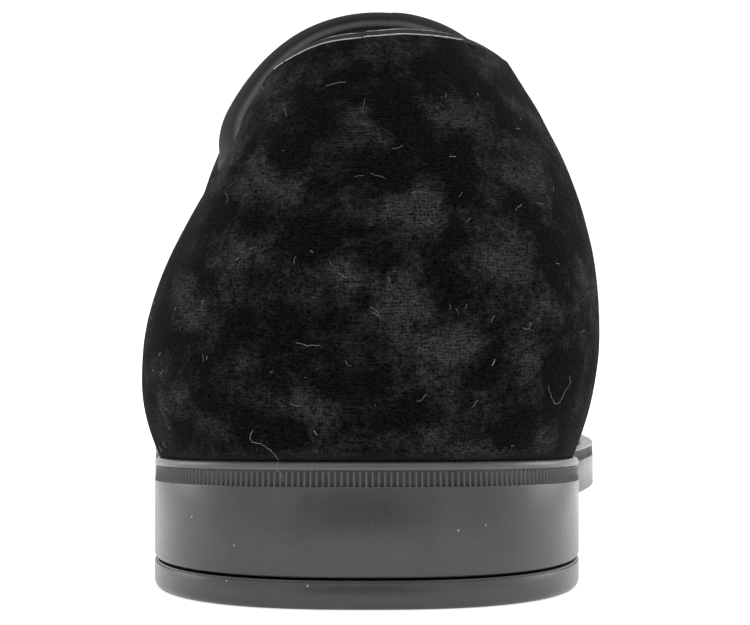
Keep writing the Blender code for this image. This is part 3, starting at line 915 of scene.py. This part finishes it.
def leather_finish(name, dark, light, roughness, painted_highlight=None):
    """Smooth leather with a fine grain, and a painted highlight where the attribute of this name is high.
    """
    finish = Finish(name)
    place = finish.place()
    pores = finish.cells(place, 900)
    folds = finish.noise(place, 90, 4, 0.6)
    colour = finish.mix(folds, tone(dark), tone(light))
    if painted_highlight:
        # Painted highlight: the colour is lifted towards a pale grey where the attribute is high
        colour = finish.mix(finish.attribute(painted_highlight) * 0.8, colour, tone(light * 3.5))
    skin = finish.bump(pores, 0.00010, 0.35)
    finish.set(
        Base_Color=colour,
        Roughness=(folds - 0.5) * 0.25 + roughness,
        Normal=finish.bump(folds, 0.0006, 0.25, skin),
        Specular_IOR_Level=0.05,
    )
    return finish.material


def rubber_finish(name, low, high):
    """Moulded rubber with faint clouds, dust and a few scuffs."""
    finish = Finish(name)
    place = finish.place()
    clouds = finish.ramp(finish.noise(place, 55, 4, 0.6, 0.6), [(0.30, 0.0), (0.70, 1.0)])
    smudge = finish.ramp(finish.noise(place, 130, 3, 0.6), [(0.56, 0.0), (0.72, 0.45)])
    scuff = finish.noise(finish.stretched(place, (90, 90, 520)), 1.0, 4, 0.7)
    grit = finish.noise(place, 2200, 2, 0.6)
    spots = finish.cells(place, 320)
    speck = 1 - finish.ramp(spots, [(0.0, 0.0), (0.03, 0.2), (0.055, 1.0)])
    rare = finish.noise(place, 120, 1) > 0.49
    colour = finish.mix(clouds, tone(low), tone(high))
    colour = finish.mix(smudge, colour, tone(low * 0.55))
    colour = finish.mix(finish.ramp(scuff, [(0.52, 0.0), (0.8, 0.25)]), colour, tone(high * 1.5))
    colour = finish.mix(speck * rare * 0.8, colour, tone(0.5))
    skin = grit * 0.5 + scuff * 0.5
    finish.set(
        Base_Color=colour,
        Roughness=(grit - 0.5) * 0.15 + (clouds - 0.5) * 0.10 + 0.30,
        Normal=finish.bump(skin, 0.00010, 0.35),
        Specular_IOR_Level=0.5,
    )
    return finish.material


def plain_finish(name, low, high, roughness, scale=2500):
    """A plain finish with a fine change of tone."""
    finish = Finish(name)
    grain = finish.noise(finish.place(), scale, 2)
    finish.set(
        Base_Color=finish.mix(grain, tone(low), tone(high)),
        Roughness=roughness,
        Normal=finish.bump(grain, 0.00005, 0.3),
    )
    return finish.material


# The velvet upper and its lining


def row_places(length):
    """Distances up a line: close at the featherline and the rim, and even between."""
    end = length - EVEN_TO
    even = [EVEN_FROM + (end - EVEN_FROM) * k / (UPPER_ROWS - 1) for k in range(UPPER_ROWS)]
    return list(FOOT_ROWS) + even + [length - below for below in RIM_EDGE_ROWS]


def wall_line(foot_turn, top_turn, top_rise, samples, places):
    """A line up the last's form, from the featherline to a place on the rim or the ridge."""
    points = []
    for k in range(samples + 1):
        share = k / samples
        turn = foot_turn + (top_turn - foot_turn) * share
        points.append(last_point(turn, top_rise * share))
    return points_at(points, places)


def side_lines(side, rim_count, vamp_count, samples, places):
    """The lines of one side of the upper, from the heel's back to the toe."""
    lines = []
    for k in range(rim_count):
        around = k / rim_count
        turn, rise = rim_place(around, side)
        lines.append(wall_line(side * FAN_TURN * around, turn, rise, samples, places))
    for k in range(vamp_count + 1):
        share = k / vamp_count
        foot_turn = FAN_TURN + (1 - FAN_TURN) * share
        top_turn = THROAT_TURN + (1 - THROAT_TURN) * share
        lines.append(wall_line(side * foot_turn, side * top_turn, 2.0, samples, places))
    return lines


def upper_grid(rim_count, vamp_count, samples, places):
    """The upper's outer form as an array of rows by lines, and how far it is from the heel on the rim."""
    medial = side_lines(1, rim_count, vamp_count, samples, places)
    lateral = side_lines(-1, rim_count, vamp_count, samples, places)
    lines = medial + lateral[-2:0:-1]
    return np.array([[line[k] for line in lines] for k in range(len(lines[0]))])


def grid_normals(grid, rim_count, vamp_count):
    """The outward directions of a grid that closes on itself round the foot."""
    across = np.roll(grid, -1, axis=1) - np.roll(grid, 1, axis=1)
    upward = np.gradient(grid, axis=0)
    normals = np.cross(across, upward)
    count = grid.shape[1]
    for k in range(rim_count, rim_count + vamp_count + 1):
        both = normals[-1, k] + normals[-1, (count - k) % count]
        normals[-1, k] = both
        normals[-1, (count - k) % count] = both
    lengths = np.linalg.norm(normals, axis=2, keepdims=True)
    return normals / np.maximum(lengths, 1e-12)


def grid_corners(grid, rim_count, vamp_count):
    """The points and faces of a grid whose two sides share their last row along the ridge."""
    rows, count = grid.shape[:2]
    points, index = [], np.zeros((rows, count), int)
    for row in range(rows):
        for k in range(count):
            shared = row == rows - 1 and count // 2 < k <= count - rim_count
            if shared:
                index[row, k] = index[row, count - k]
            else:
                index[row, k] = len(points)
                points.append(Vector(grid[row, k]))
    faces = []
    for row in range(rows - 1):
        for k in range(count):
            after = (k + 1) % count
            face = [index[row, k], index[row, after], index[row + 1, after], index[row + 1, k]]
            faces.append(tuple(dict.fromkeys(int(corner) for corner in face)))
    return points, faces, index


def seen_place(point):
    """Sideways and up, in millimetres, where the photograph's view shows a point of the shoe."""
    share = VIEW_DISTANCE / (VIEW_DISTANCE + point[1])
    sideways = VIEW_SIDEWAYS + (point[0] - VIEW_SIDEWAYS) * share
    return sideways / MM, (VIEW_HEIGHT + (point[2] - VIEW_HEIGHT) * share) / MM


def layered_noise(place, layers):
    """The sum of some layers of noise, each of a fineness and a strength."""
    return sum(strength * noise.noise(place * fineness) for fineness, strength in layers)


def nap_at(point):
    """How far the pile is pressed at a point of the velvet, about 0.5."""
    from_back = smooth_share(point[1], BACK_END, BACK_START)
    value = EVEN_NAP
    seen_x, seen_z = seen_place(point)
    place = Vector(point)
    seen_x += layered_noise(place, PATCH_WARPS)
    seen_z += layered_noise(place + Vector((0.04, 0.02, 0.01)), PATCH_WARPS)
    for x, z, half_width, half_height, lean, strength in PRESSED_PATCHES:
        angle = math.radians(lean)
        across, up = seen_x - x, seen_z - z
        along = (across * math.cos(angle) + up * math.sin(angle)) / half_width
        crosswise = (up * math.cos(angle) - across * math.sin(angle)) / half_height
        distance = along**2 + crosswise**2
        if distance < PATCH_REACH_SQUARED:
            value += PATCH_WEIGHT * strength * from_back * math.exp(-distance)
    (coarse, coarse_share), (fine, fine_share) = MOTTLE
    mottle = noise.noise(place * coarse) * coarse_share
    return value + mottle + noise.noise(place * fine + Vector((7, 3, 5))) * fine_share


def crease_depth(point):
    """How far the vamp's surface is drawn in by its bending creases."""
    depth = 0.0
    for y, deep, half_width, slant in VAMP_CREASES:
        away = (point[1] - y - slant * point[0]) / half_width
        over = smooth_share(point[2], CREASES_FROM, CREASES_FULL)
        if abs(away) < 3:
            depth += deep * over * math.exp(-away * away)
    return depth


def collar_climb(around):
    """How far the velvet climbs over the collar, by the place round the rim."""
    sides = smooth_share(around, STRIP_END - 0.06, STRIP_END + 0.22)
    climb = COLLAR_CLIMB + (SIDE_CLIMB - COLLAR_CLIMB) * sides
    return climb * (1 - smooth_share(around, COLLAR_END - 0.2, COLLAR_END))


def lay_cloth(mesh, coordinates, girth):
    """Gives the faces the cloth's coordinates, also the faces where the girth closes on itself."""
    layer = mesh.uv_layers.new(name="cloth")
    corner_points = np.zeros(len(mesh.loops), int)
    mesh.loops.foreach_get("vertex_index", corner_points)
    corners = coordinates[corner_points]
    for polygon in mesh.polygons:
        own = slice(polygon.loop_start, polygon.loop_start + polygon.loop_total)
        if np.ptp(corners[own, 0]) > girth / 2:
            corners[own, 0] += np.where(corners[own, 0] < girth / 2, girth, 0.0)
    layer.data.foreach_set("uv", corners.ravel())


def make_velvet(material):
    """The velvet shell: tucked in at the featherline and climbing over the collar."""
    grid = upper_grid(RIM_STATIONS, VAMP_STATIONS, LINE_SAMPLES, row_places)
    normals = grid_normals(grid, RIM_STATIONS, VAMP_STATIONS)
    rows, count = grid.shape[:2]
    heights = np.concatenate(
        [np.zeros((1, count)), np.cumsum(np.linalg.norm(np.diff(grid, axis=0), axis=2), axis=0)]
    )
    middle = rows // 2
    around = np.concatenate([[0.0], np.cumsum(np.linalg.norm(np.diff(grid[middle], axis=0), axis=1))])
    shaped = grid.copy()
    nap = np.zeros((rows, count))
    for k in range(count):
        climb = collar_climb(min(k, count - k) / RIM_STATIONS)
        over_collar = OVER_COLLAR * climb / SIDE_CLIMB
        length = heights[-1, k]
        upward = Vector(grid[-1, k] - grid[-3, k]).normalized()
        for row in range(rows):
            point = grid[row, k]
            height = heights[row, k]
            nap[row, k] = nap_at(point)
            tuck = max(0.0, 1 - height / TUCK_HEIGHT)
            swell = SWELL * noise.noise(Vector(point) * 160)
            sideways = abs(normals[row, k][0])
            tucked = TUCK_DEPTH * (1 - 0.55 * sideways) * tuck**2
            lift = PILE + swell - tucked - crease_depth(point)
            stretch = max(0.0, 1 - (length - height) / CLIMB_REACH)
            moved = Vector(point) + Vector(normals[row, k]) * (lift + over_collar * stretch)
            moved.z -= 0.9 * GAP * tuck
            shaped[row, k] = moved + upward * climb * stretch**1.5
    points, faces, index = grid_corners(shaped, RIM_STATIONS, VAMP_STATIONS)
    velvet = new_piece("upper_velvet", points, faces, material, ["upper"], 80)
    mesh = velvet.data
    pressed = mesh.attributes.new("nap", "FLOAT", "POINT")
    # Share of painted shade at each point: 1 at the featherline, falling to 0 at the tuck's height
    shaded = mesh.attributes.new("featherline", "FLOAT", "POINT")
    coordinates = np.zeros((len(points), 2))
    for row in range(rows):
        for k in range(count):
            at = index[row, k]
            pressed.data[at].value = nap[row, k]
            shaded.data[at].value = max(0.0, 1 - heights[row, k] / TUCK_HEIGHT)
            coordinates[at] = (around[k], heights[row, k])
    lay_cloth(mesh, coordinates, around[-1])
    wall = velvet.modifiers.new("thickness", "SOLIDIFY")
    wall.thickness = VELVET_THICKNESS
    wall.offset = -1
    return velvet


def make_lining(material):
    """The leather lining, a thin shell inside the velvet."""
    rim_count, vamp_count = RIM_STATIONS // 2, VAMP_STATIONS // 2

    def places(length):
        return [length * k / LINING_ROWS for k in range(LINING_ROWS + 1)]

    grid = upper_grid(rim_count, vamp_count, LINE_SAMPLES // 2, places)
    normals = grid_normals(grid, rim_count, vamp_count)
    points, faces, _ = grid_corners(grid - normals * LINING_DEPTH, rim_count, vamp_count)
    lining = new_piece("upper_lining", points, faces, material, (), 80)
    wall = lining.modifiers.new("thickness", "SOLIDIFY")
    wall.thickness = LINING_THICKNESS
    wall.offset = -1
    return lining


# The collar and the throat's binding


def binding_size(around):
    """How thick the binding is: thin round the heel and a full roll at the throat."""
    share = smooth_share(around, ROLL_START, ROLL_END)
    return BINDING_AT_HEEL + (BINDING_AT_THROAT - BINDING_AT_HEEL) * share


def rim_frames(count):
    """Round the rim from the throat's medial side to the heel and back: place, out, up and around."""
    stations = [(k / count, 1) for k in range(count, -1, -1)]
    stations += [(k / count, -1) for k in range(1, count)]
    places = [rim_place(around, side) for around, side in stations]
    rim = [last_point(turn, rise) for turn, rise in places]
    outs = [form_normal(turn, rise) for turn, rise in places]
    for _ in range(4):
        after = outs[1:] + outs[:1]
        before = outs[-1:] + outs[:-1]
        outs = [(a + 2 * b + c).normalized() for a, b, c in zip(before, outs, after)]
    frames = []
    for k, out in enumerate(outs):
        along = (rim[(k + 1) % len(rim)] - rim[k - 1]).normalized()
        up = along.cross(out).normalized()
        frames.append((rim[k], out, up, stations[k][0]))
    return frames


def binding_point(rim_frame, angle):
    """A point of the binding's skin: angle is 0 on the outside and 90 degrees on top."""
    rim, out, up, around = rim_frame
    size = binding_size(around)
    roll = smooth_share(around, GROOVES_START, GROOVES_END)
    turned = math.degrees(angle)
    grooves = sum(deep * math.exp(-(((turned - at) / wide) ** 2)) for at, wide, deep in ROLL_GROOVES)
    reach = size / 2 * (1 - roll * grooves)
    square = 1 + FOLD_SQUARENESS * (1 - roll) * abs(math.sin(2 * angle))
    stands_out = ROLL_STANDS_OUT * smooth_share(around, STAND_START, STAND_END) * max(-out.x, 0.0)
    middle = rim + out * (stands_out - WALL / 2) + up * (GAP * roll + size * BINDING_FLATNESS / 2)
    across = out * math.cos(angle) * reach * square
    return middle + across + up * math.sin(angle) * reach * BINDING_FLATNESS * square


def make_binding(material):
    """The leather binding: a plain folded edge at the heel, and a roll with a ridge at the throat."""
    frames = rim_frames(RIM_STATIONS)
    angles = [2 * math.pi * (side + 0.5) / BINDING_SIDES for side in range(BINDING_SIDES)]
    points = [binding_point(rim_frame, angle) for rim_frame in frames for angle in angles]
    faces = loop_faces(len(frames), BINDING_SIDES, closed=True)
    nodes = ["topline_binding"]
    binding = new_piece("throat_binding", points, faces, material, nodes, 70)
    # Share of painted highlight at each point of the binding: most between the roll's two grooves
    ridge = binding.data.attributes.new("ridge", "FLOAT", "POINT")
    middle = (ROLL_GROOVES[0][0] + ROLL_GROOVES[1][0]) / 2
    away = [(math.degrees(angle) - middle) / RIDGE_HIGHLIGHT_HALF_WIDTH for angle in angles]
    shares = [math.exp(-(distance**2)) for distance in away]
    for k, _ in enumerate(points):
        ridge.data[k].value = shares[k % BINDING_SIDES]
    return binding


def tube(points, faces, line, radius, sides):
    """Adds a thin closed tube along a line to a list of points and faces."""
    start = len(points)
    for k, place in enumerate(line):
        along = (line[min(k + 1, len(line) - 1)] - line[max(k - 1, 0)]).normalized()
        across = along.orthogonal().normalized()
        beside = along.cross(across)
        wide = radius(k / (len(line) - 1)) if callable(radius) else radius
        for side in range(sides):
            angle = 2 * math.pi * side / sides
            points.append(place + (across * math.cos(angle) + beside * math.sin(angle)) * wide)
    for k in range(len(line) - 1):
        for side in range(sides):
            after = (side + 1) % sides
            low, high = start + k * sides, start + (k + 1) * sides
            faces.append((low + side, low + after, high + after, high + side))
    faces.append(tuple(start + side for side in range(sides - 1, -1, -1)))
    end = start + (len(line) - 1) * sides
    faces.append(tuple(end + side for side in range(sides)))


def make_collar_edges(material):
    """The slightly frayed edges of the collar's strip, its fold and the velvet's edge: pale tubes whose
    colour is painted highlight along the edges, with the pale look of their frayed fibres.
    """
    frames = []
    for rim_frame in rim_frames(3 * RIM_STATIONS):
        end = LATERAL_EDGE_END if rim_frame[1].x < 0 else MEDIAL_EDGE_END
        if rim_frame[3] < end:
            frames.append(rim_frame)
    points, faces = [], []
    for lower, radius in ((False, FOLD_EDGE_RADIUS), (True, VELVET_EDGE_RADIUS)):
        line, widths = [], []
        for rim_frame in frames:
            rim, out, up, around = rim_frame
            top = binding_point(rim_frame, math.radians(FOLD_ANGLE))
            edge = rim + out * 1.5 * PILE + up * (collar_climb(around) + VELVET_EDGE_LIFT)
            merge = smooth_share(around, STRIP_END - 0.06, STRIP_END)
            place = edge.lerp(top, merge) if lower else top
            frayed = noise.noise(rim * 900) * (0.5 + around / STRIP_END)
            line.append(place + up * frayed * FRAY)
            lateral = 1.5 if rim.x < 0 else 1.0
            ends = 1 + (lateral - 1) * smooth_share(around, STRIP_END - 0.06, STRIP_END - 0.01)
            thin = 1 - 0.8 * smooth_share(around, STRIP_END, STRIP_END + 0.015)
            widths.append(radius * ends * thin * (1 + 0.35 * noise.noise(rim * 1500)))
        tube(points, faces, line, lambda share: widths[round(share * (len(widths) - 1))], 6)
    return new_piece("collar_edges", points, faces, material, (), 80)


# The sole


def make_welt(material):
    """The rand: a smooth rounded lip over the recess of the ribbed band."""
    turns = both_sides(sole_turns()[0])
    deep = BAND_DEPTH + 0.45 * MM
    base = -WELT_THICKNESS
    levels = (
        (3.0 * MM, base - 0.1 * MM),
        (deep, base - 0.1 * MM),
        (deep, -WELT_LIP - 0.9 * BAND_DEPTH),
        (0.30 * MM, -WELT_LIP - 0.10 * MM),
        (0.06 * MM, -WELT_LIP + 0.04 * MM),
        (0.0, -WELT_LIP + 0.35 * MM),
        (0.05 * MM, -0.50 * WELT_LIP),
        (0.17 * MM, -0.27 * WELT_LIP),
        (0.36 * MM, -0.10 * WELT_LIP),
        (0.62 * MM, -0.01 * WELT_LIP),
    )
    loops = sole_loops(turns, levels, at_edge, seat_height)
    loops += sole_loops(turns, ((0.0, 0.0), (0.0, base)), under_upper, seat_height)
    faces = loop_faces(len(levels) + 2, len(turns), closed=True)
    return new_piece("rand_lip", loops, faces, material, ["welt"], 60)


def even_turns(count):
    """Turns at even distances round the sole's outline."""
    samples = 6000
    turns = np.linspace(-1, 1, samples + 1)
    edge = np.array([tuple(outline_point(turn)) for turn in turns[:-1]] + [tuple(outline_point(-1))])
    lengths = np.concatenate([[0], np.cumsum(np.linalg.norm(np.diff(edge, axis=0), axis=1))])
    wanted = lengths[-1] * np.arange(count) / count
    return np.interp(wanted, lengths, turns), lengths[-1]


def make_ribs(material):
    """The fine upright ribs in the rand's band, as one wavy strip all round."""
    _, length = even_turns(10)
    ribs = round(length / RIB_PITCH)
    turns, _ = even_turns(ribs * RIB_STEPS)
    base, top = -WELT_THICKNESS - 0.1 * MM, -WELT_LIP - 0.05 * MM
    points = []
    for share, sunk in RIB_SECTION:
        for k, turn in enumerate(turns):
            phase = math.cos(2 * math.pi * (k % RIB_STEPS) / RIB_STEPS) / 2 + 0.5
            inset = RIB_FLOOR - RIB_RELIEF * phase * (1 - sunk)
            point = inset_point(turn, inset)
            lift = base + (top - base) * share
            points.append(Vector((point.x, point.y, seat_height(point.y) + lift)))
    for share in (1.0, 0.0):
        for turn in turns:
            point = inset_point(turn, RIB_FLOOR + RIB_BACK)
            lift = base + (top - base) * share
            points.append(Vector((point.x, point.y, seat_height(point.y) + lift)))
    faces = loop_faces(len(RIB_SECTION) + 2, len(turns), closed=True)
    return new_piece("rand_ribs", points, faces, material, (), 60)


def make_outsole(material):
    """The rubber unit: heel block, waist and forepart in one."""
    loop_turns = both_sides(sole_turns()[0])
    block_base = TOP_PIECE_THICKNESS + GAP
    heel_edge = BREAST_PLACE + BREAST_DRAFT / 2

    def base(y):
        return block_base if y < heel_edge else tread_height(y)

    def ledge(y):
        return seat_height(y) - WELT_THICKNESS

    foot_levels = (
        (0.9 * MM, 0.0),
        (0.32 * MM, 0.10 * MM),
        (0.10 * MM, 0.32 * MM),
        (0.0, 0.75 * MM),
    )
    ledge_levels = (
        (0.0, -0.18 * MM),
        (0.06 * MM, -0.05 * MM),
        (0.18 * MM, 0.0),
    )
    points = sole_loops(loop_turns, foot_levels, at_edge, base)
    points += sole_loops(loop_turns, ledge_levels, at_edge, ledge)
    points += sole_loops(loop_turns, ((GAP, 0.0),), under_upper, ledge)
    points += sole_loops(loop_turns, ((GAP, 0.0),), under_upper, seat_height)
    loops = len(foot_levels) + len(ledge_levels) + 2
    count = len(loop_turns)
    faces = loop_faces(loops, count)

    def bows(y):
        return BREAST_BOW if abs(y - heel_edge) < BREAST_DRAFT else 0.0

    add_cap(points, faces, 0, count, bows)
    add_cap(points, faces, (loops - 1) * count, count)
    return new_piece("rubber_unit", points, faces, material, ["outsole"], 50)


def make_top_piece(material):
    """The heel's wearing lift, with a stepped line above it."""
    turns, breast = sole_turns()
    heel = turns[: breast + 1]
    levels = (
        (1.0 * MM, 0.0),
        (0.45 * MM, 0.12 * MM),
        (0.14 * MM, 0.42 * MM),
        (0.0, 0.95 * MM),
        (0.0, TOP_PIECE_THICKNESS - 0.42 * MM),
        (0.07 * MM, TOP_PIECE_THICKNESS - 0.30 * MM),
        (0.30 * MM, TOP_PIECE_THICKNESS - 0.28 * MM),
        (0.32 * MM, TOP_PIECE_THICKNESS),
    )
    points, faces = [], []
    for inset, height in levels:
        medial = [inset_point(turn, inset) for turn in heel]
        lateral = [inset_point(-turn, inset) for turn in heel[:0:-1]]
        near, far = medial[-1], lateral[0]
        across = []
        for k in range(1, SOLE_COLUMNS):
            share = k / SOLE_COLUMNS
            place = near.lerp(far, share)
            across.append(Vector((place.x, place.y - BREAST_BOW * 4 * share * (1 - share))))
        loop = medial + across + lateral
        for point in loop:
            front = max(0.0, (point.y - BREAST_PLACE + 6 * MM) / (6 * MM))
            points.append(Vector((point.x, point.y - inset * min(front, 1.0), height)))
    count = len(points) // len(levels)
    faces = loop_faces(len(levels), count)
    for start in (0, (len(levels) - 1) * count):
        rows = [row_across(points, start + k, start + count - k) for k in range(1, breast)]
        rows.append([start + breast + k for k in range(SOLE_COLUMNS + 1)])
        fill_rows(faces, start, rows)
    return new_piece("heel_lift", points, faces, material, ["top_piece"], 50)


def make_sock(material):
    """The leather sock over the insole, with a rounded edge, a channel for the stitches and a slight rise
    inwards.
    """
    turns = both_sides(sole_turns()[0])
    edge = WALL + FIT
    top = GAP + INSOLE_THICKNESS
    levels = (
        (edge, GAP),
        (edge, top - 1.0 * MM),
        (edge + 0.3 * MM, top - 0.35 * MM),
        (edge + 1.0 * MM, top),
        (edge + 3.4 * MM, top),
        (edge + 3.8 * MM, top - 0.25 * MM),
        (edge + 4.2 * MM, top),
        (edge + 7.0 * MM, top + 0.1 * MM),
    )
    points = sole_loops(turns, levels, shelf_width, seat_height)
    count = len(turns)
    faces = loop_faces(len(levels), count)
    add_cap(points, faces, 0, count)
    add_cap(points, faces, (len(levels) - 1) * count, count)
    return new_piece("insole_sock", points, faces, material, ["insole"], 60)


def make_sock_stitches(material):
    """A row of stitches in the sock's channel."""
    inset = WALL + FIT + STITCH_CHANNEL
    _, length = even_turns(10)
    turns, _ = even_turns(round(length / STITCH_PITCH))
    points, faces = [], []
    for turn, after in zip(turns, np.roll(turns, -1)):
        if after < turn:
            after += 2
        ends = []
        for share, lift in zip(STITCH_SHARES, STITCH_LIFTS):
            place = turn + (after - turn) * share
            point = inset_point(place, shelf_width((place + 1) % 2 - 1) + inset)
            height = seat_height(point.y) + GAP + INSOLE_THICKNESS + lift
            ends.append(Vector((point.x, point.y, height)))
        tube(points, faces, ends, STITCH_RADIUS, 5)
    return new_piece("sock_stitches", points, faces, material, (), 80)


# Lint on the velvet


def surface_tree(pieces):
    """All the faces of some pieces, to find the places where fine things lie on them."""
    points, faces = [], []
    for piece in pieces:
        start = len(points)
        points += [vertex.co.copy() for vertex in piece.data.vertices]
        faces += [tuple(start + k for k in polygon.vertices) for polygon in piece.data.polygons]
    return BVHTree.FromPolygons(points, faces)


def laid_line(tree, places, lift):
    """A line over the surface through the places that the view shows against the heel's back."""
    eye = ORIGIN + Vector((VIEW_SIDEWAYS, -VIEW_DISTANCE, VIEW_HEIGHT))
    line = []
    for sideways, height in places:
        target = ORIGIN + Vector((sideways * MM, 0.0, height * MM))
        hit, normal, _, _ = tree.ray_cast(eye, (target - eye).normalized())
        if hit is None or (line and (hit - ORIGIN - line[-1]).length > LINT_BREAK):
            break
        facing = 1 if normal.dot(eye - hit) > 0 else -1
        line.append(hit + normal * facing * lift - ORIGIN)
    return line


def fibre_places(sideways, height, length, lean, bend):
    """Places along a bent fibre from its start."""
    steps = max(3, round(length / 0.25))
    heading = math.radians(lean)
    places = [(sideways, height)]
    for _ in range(steps):
        sideways += math.cos(heading) * length / steps
        height += math.sin(heading) * length / steps
        heading += math.radians(bend) / steps + random.uniform(-0.35, 0.35)
        places.append((sideways, height))
    return places


def thread_places(thread):
    """Places along a long thread with fine curls between its given places."""
    order = list(range(len(thread)))
    across = smooth_curve(order, [place[0] for place in thread])
    upward = smooth_curve(order, [place[1] for place in thread])
    places = []
    for k in range(8 * (len(thread) - 1) + 1):
        curl = 0.05 * math.sin(k * 1.1)
        places.append((across(k / 8) + curl, upward(k / 8) + curl / 2))
    return places


def make_lint(material, velvet, others):
    """Pale fibres, two long threads and scattered specks of lint."""
    tree = surface_tree([velvet] + others)
    points, faces = [], []
    lines = [(fibre_places(*row), FIBRE_LIFT, FIBRE_RADIUS) for row in LINT_FIBRES]
    lines += [(thread_places(thread), THREAD_LIFT, THREAD_RADIUS) for thread in LONG_THREADS]
    for places, lift, radius in lines:
        line = laid_line(tree, places, lift)
        if len(line) > 2:
            tube(points, faces, line, radius, 4)
    polygons = velvet.data.polygons
    for _ in range(SCATTERED_LINT):
        polygon = polygons[random.randrange(len(polygons))]
        centre = polygon.center.copy()
        axis = ORIGIN + Vector((0.0, centre.y - ORIGIN.y, 30 * MM))
        out = polygon.normal if polygon.normal.dot(centre - axis) > 0 else -polygon.normal
        heading = Vector([random.uniform(-1, 1) for _ in range(3)]).cross(out).normalized()
        bend = random.uniform(-1, 1)
        length = random.choice(SCATTERED_LENGTHS)
        line = []
        for k in range(4):
            side = out.cross(heading) * bend * (k / 3) ** 2 * length / 2
            line.append(centre + out * FIBRE_LIFT + heading * length * k / 3 + side - ORIGIN)
        tube(points, faces, line, random.uniform(0.025, 0.05) * MM, 4)
    return new_piece("lint_fibres", points, faces, material, (), 80)


# Stage, light and camera


def make_world():
    """A white room, dark only round the camera, so that the sole's corners are lit more than its middle."""
    world = bpy.data.worlds.new("white_room")
    bpy.context.scene.world = world
    world.use_nodes = True
    nodes, links = world.node_tree.nodes, world.node_tree.links
    background = nodes["Background"]
    background.inputs["Strength"].default_value = ROOM_BRIGHTNESS
    direction = nodes.new("ShaderNodeTexCoord")
    parts = nodes.new("ShaderNodeSeparateXYZ")
    share = nodes.new("ShaderNodeMapRange")
    share.inputs["From Min"].default_value = -1.0
    tones = nodes.new("ShaderNodeValToRGB")
    set_stops(tones.color_ramp, ROOM_TONES)
    links.new(direction.outputs["Generated"], parts.inputs[0])
    links.new(parts.outputs["Y"], share.inputs["Value"])
    links.new(share.outputs["Result"], tones.inputs[0])
    links.new(tones.outputs[0], background.inputs["Color"])


def make_lights():
    """Two soft lights out beside the toe, and one above."""
    for name, place, size, power in STUDIO_LIGHTS:
        light = bpy.data.lights.new(name, "AREA")
        light.energy = power
        light.size = size
        lamp = bpy.data.objects.new(name, light)
        lamp.location = place
        aim = LIGHTS_AIM - lamp.location
        lamp.rotation_euler = aim.to_track_quat("-Z", "Y").to_euler()
        bpy.context.scene.collection.objects.link(lamp)


def make_floor():
    """A plain pale floor that reads as white."""
    bpy.ops.mesh.primitive_plane_add(size=16, location=(0, 0, 0))
    floor = bpy.context.object
    floor.name = "studio_floor"
    finish = Finish("pale_floor")
    finish.set(Base_Color=(0.8, 0.8, 0.8, 1), Roughness=0.9, Specular_IOR_Level=0.0)
    finish.set(Emission_Color=(1, 1, 1, 1), Emission_Strength=FLOOR_GLOW)
    floor.data.materials.append(finish.material)


def make_camera():
    """The camera of the photograph: level, straight behind the heel and close to the floor."""
    camera_data = bpy.data.cameras.new("camera")
    camera_data.lens = CAMERA_LENS
    camera_data.sensor_width = SENSOR_WIDTH
    camera = bpy.data.objects.new("camera", camera_data)
    camera.location = ORIGIN + Vector((VIEW_SIDEWAYS, -VIEW_DISTANCE, VIEW_HEIGHT))
    camera.rotation_euler = (math.pi / 2, 0, 0)
    bpy.context.scene.collection.objects.link(camera)
    bpy.context.scene.camera = camera
    bpy.context.scene.view_settings.view_transform = "Standard"


random.seed(7)
ORIGIN = plan_origin()

velvet = velvet_finish()
# The binding's leather, with a painted highlight along the roll's ridge
roll_leather = leather_finish("roll_leather", 0.018, 0.030, 0.65, painted_highlight="ridge")
lining_leather = leather_finish("lining_leather", 0.020, 0.030, 0.6)
sock_leather = leather_finish("sock_leather", 0.022, 0.034, 0.5)
# Pale tone of the collar's edges: painted highlight on the fold and the velvet's edge, with the paleness of
# their fraying
edge_highlight_and_fray = plain_finish("collar_edge_highlight_and_fray", 0.25, 0.42, 0.6)
thread = plain_finish("grey_thread", 0.05, 0.10, 0.7)
lint = plain_finish("pale_lint", 0.03, 0.38, 0.8, 170)
rubber = rubber_finish("moulded_rubber", 0.029, 0.040)
# The rand's rubber is the moulded rubber painted lighter: painted light for the upward-facing lip and for
# the ribs in the lip's shade
rand_rubber_painted_lighter = rubber_finish("rand_rubber_painted_lighter", 0.052, 0.066)
tread_rubber = rubber_finish("tread_rubber", 0.028, 0.039)

velvet_upper = make_velvet(velvet)
make_lining(lining_leather)
make_binding(roll_leather)
make_collar_edges(edge_highlight_and_fray)
rand_pieces = [make_welt(rand_rubber_painted_lighter), make_ribs(rand_rubber_painted_lighter)]
make_outsole(rubber)
make_top_piece(tread_rubber)
make_lint(lint, velvet_upper, rand_pieces)
make_sock(sock_leather)
make_sock_stitches(thread)
make_world()
make_lights()
make_floor()
make_camera()
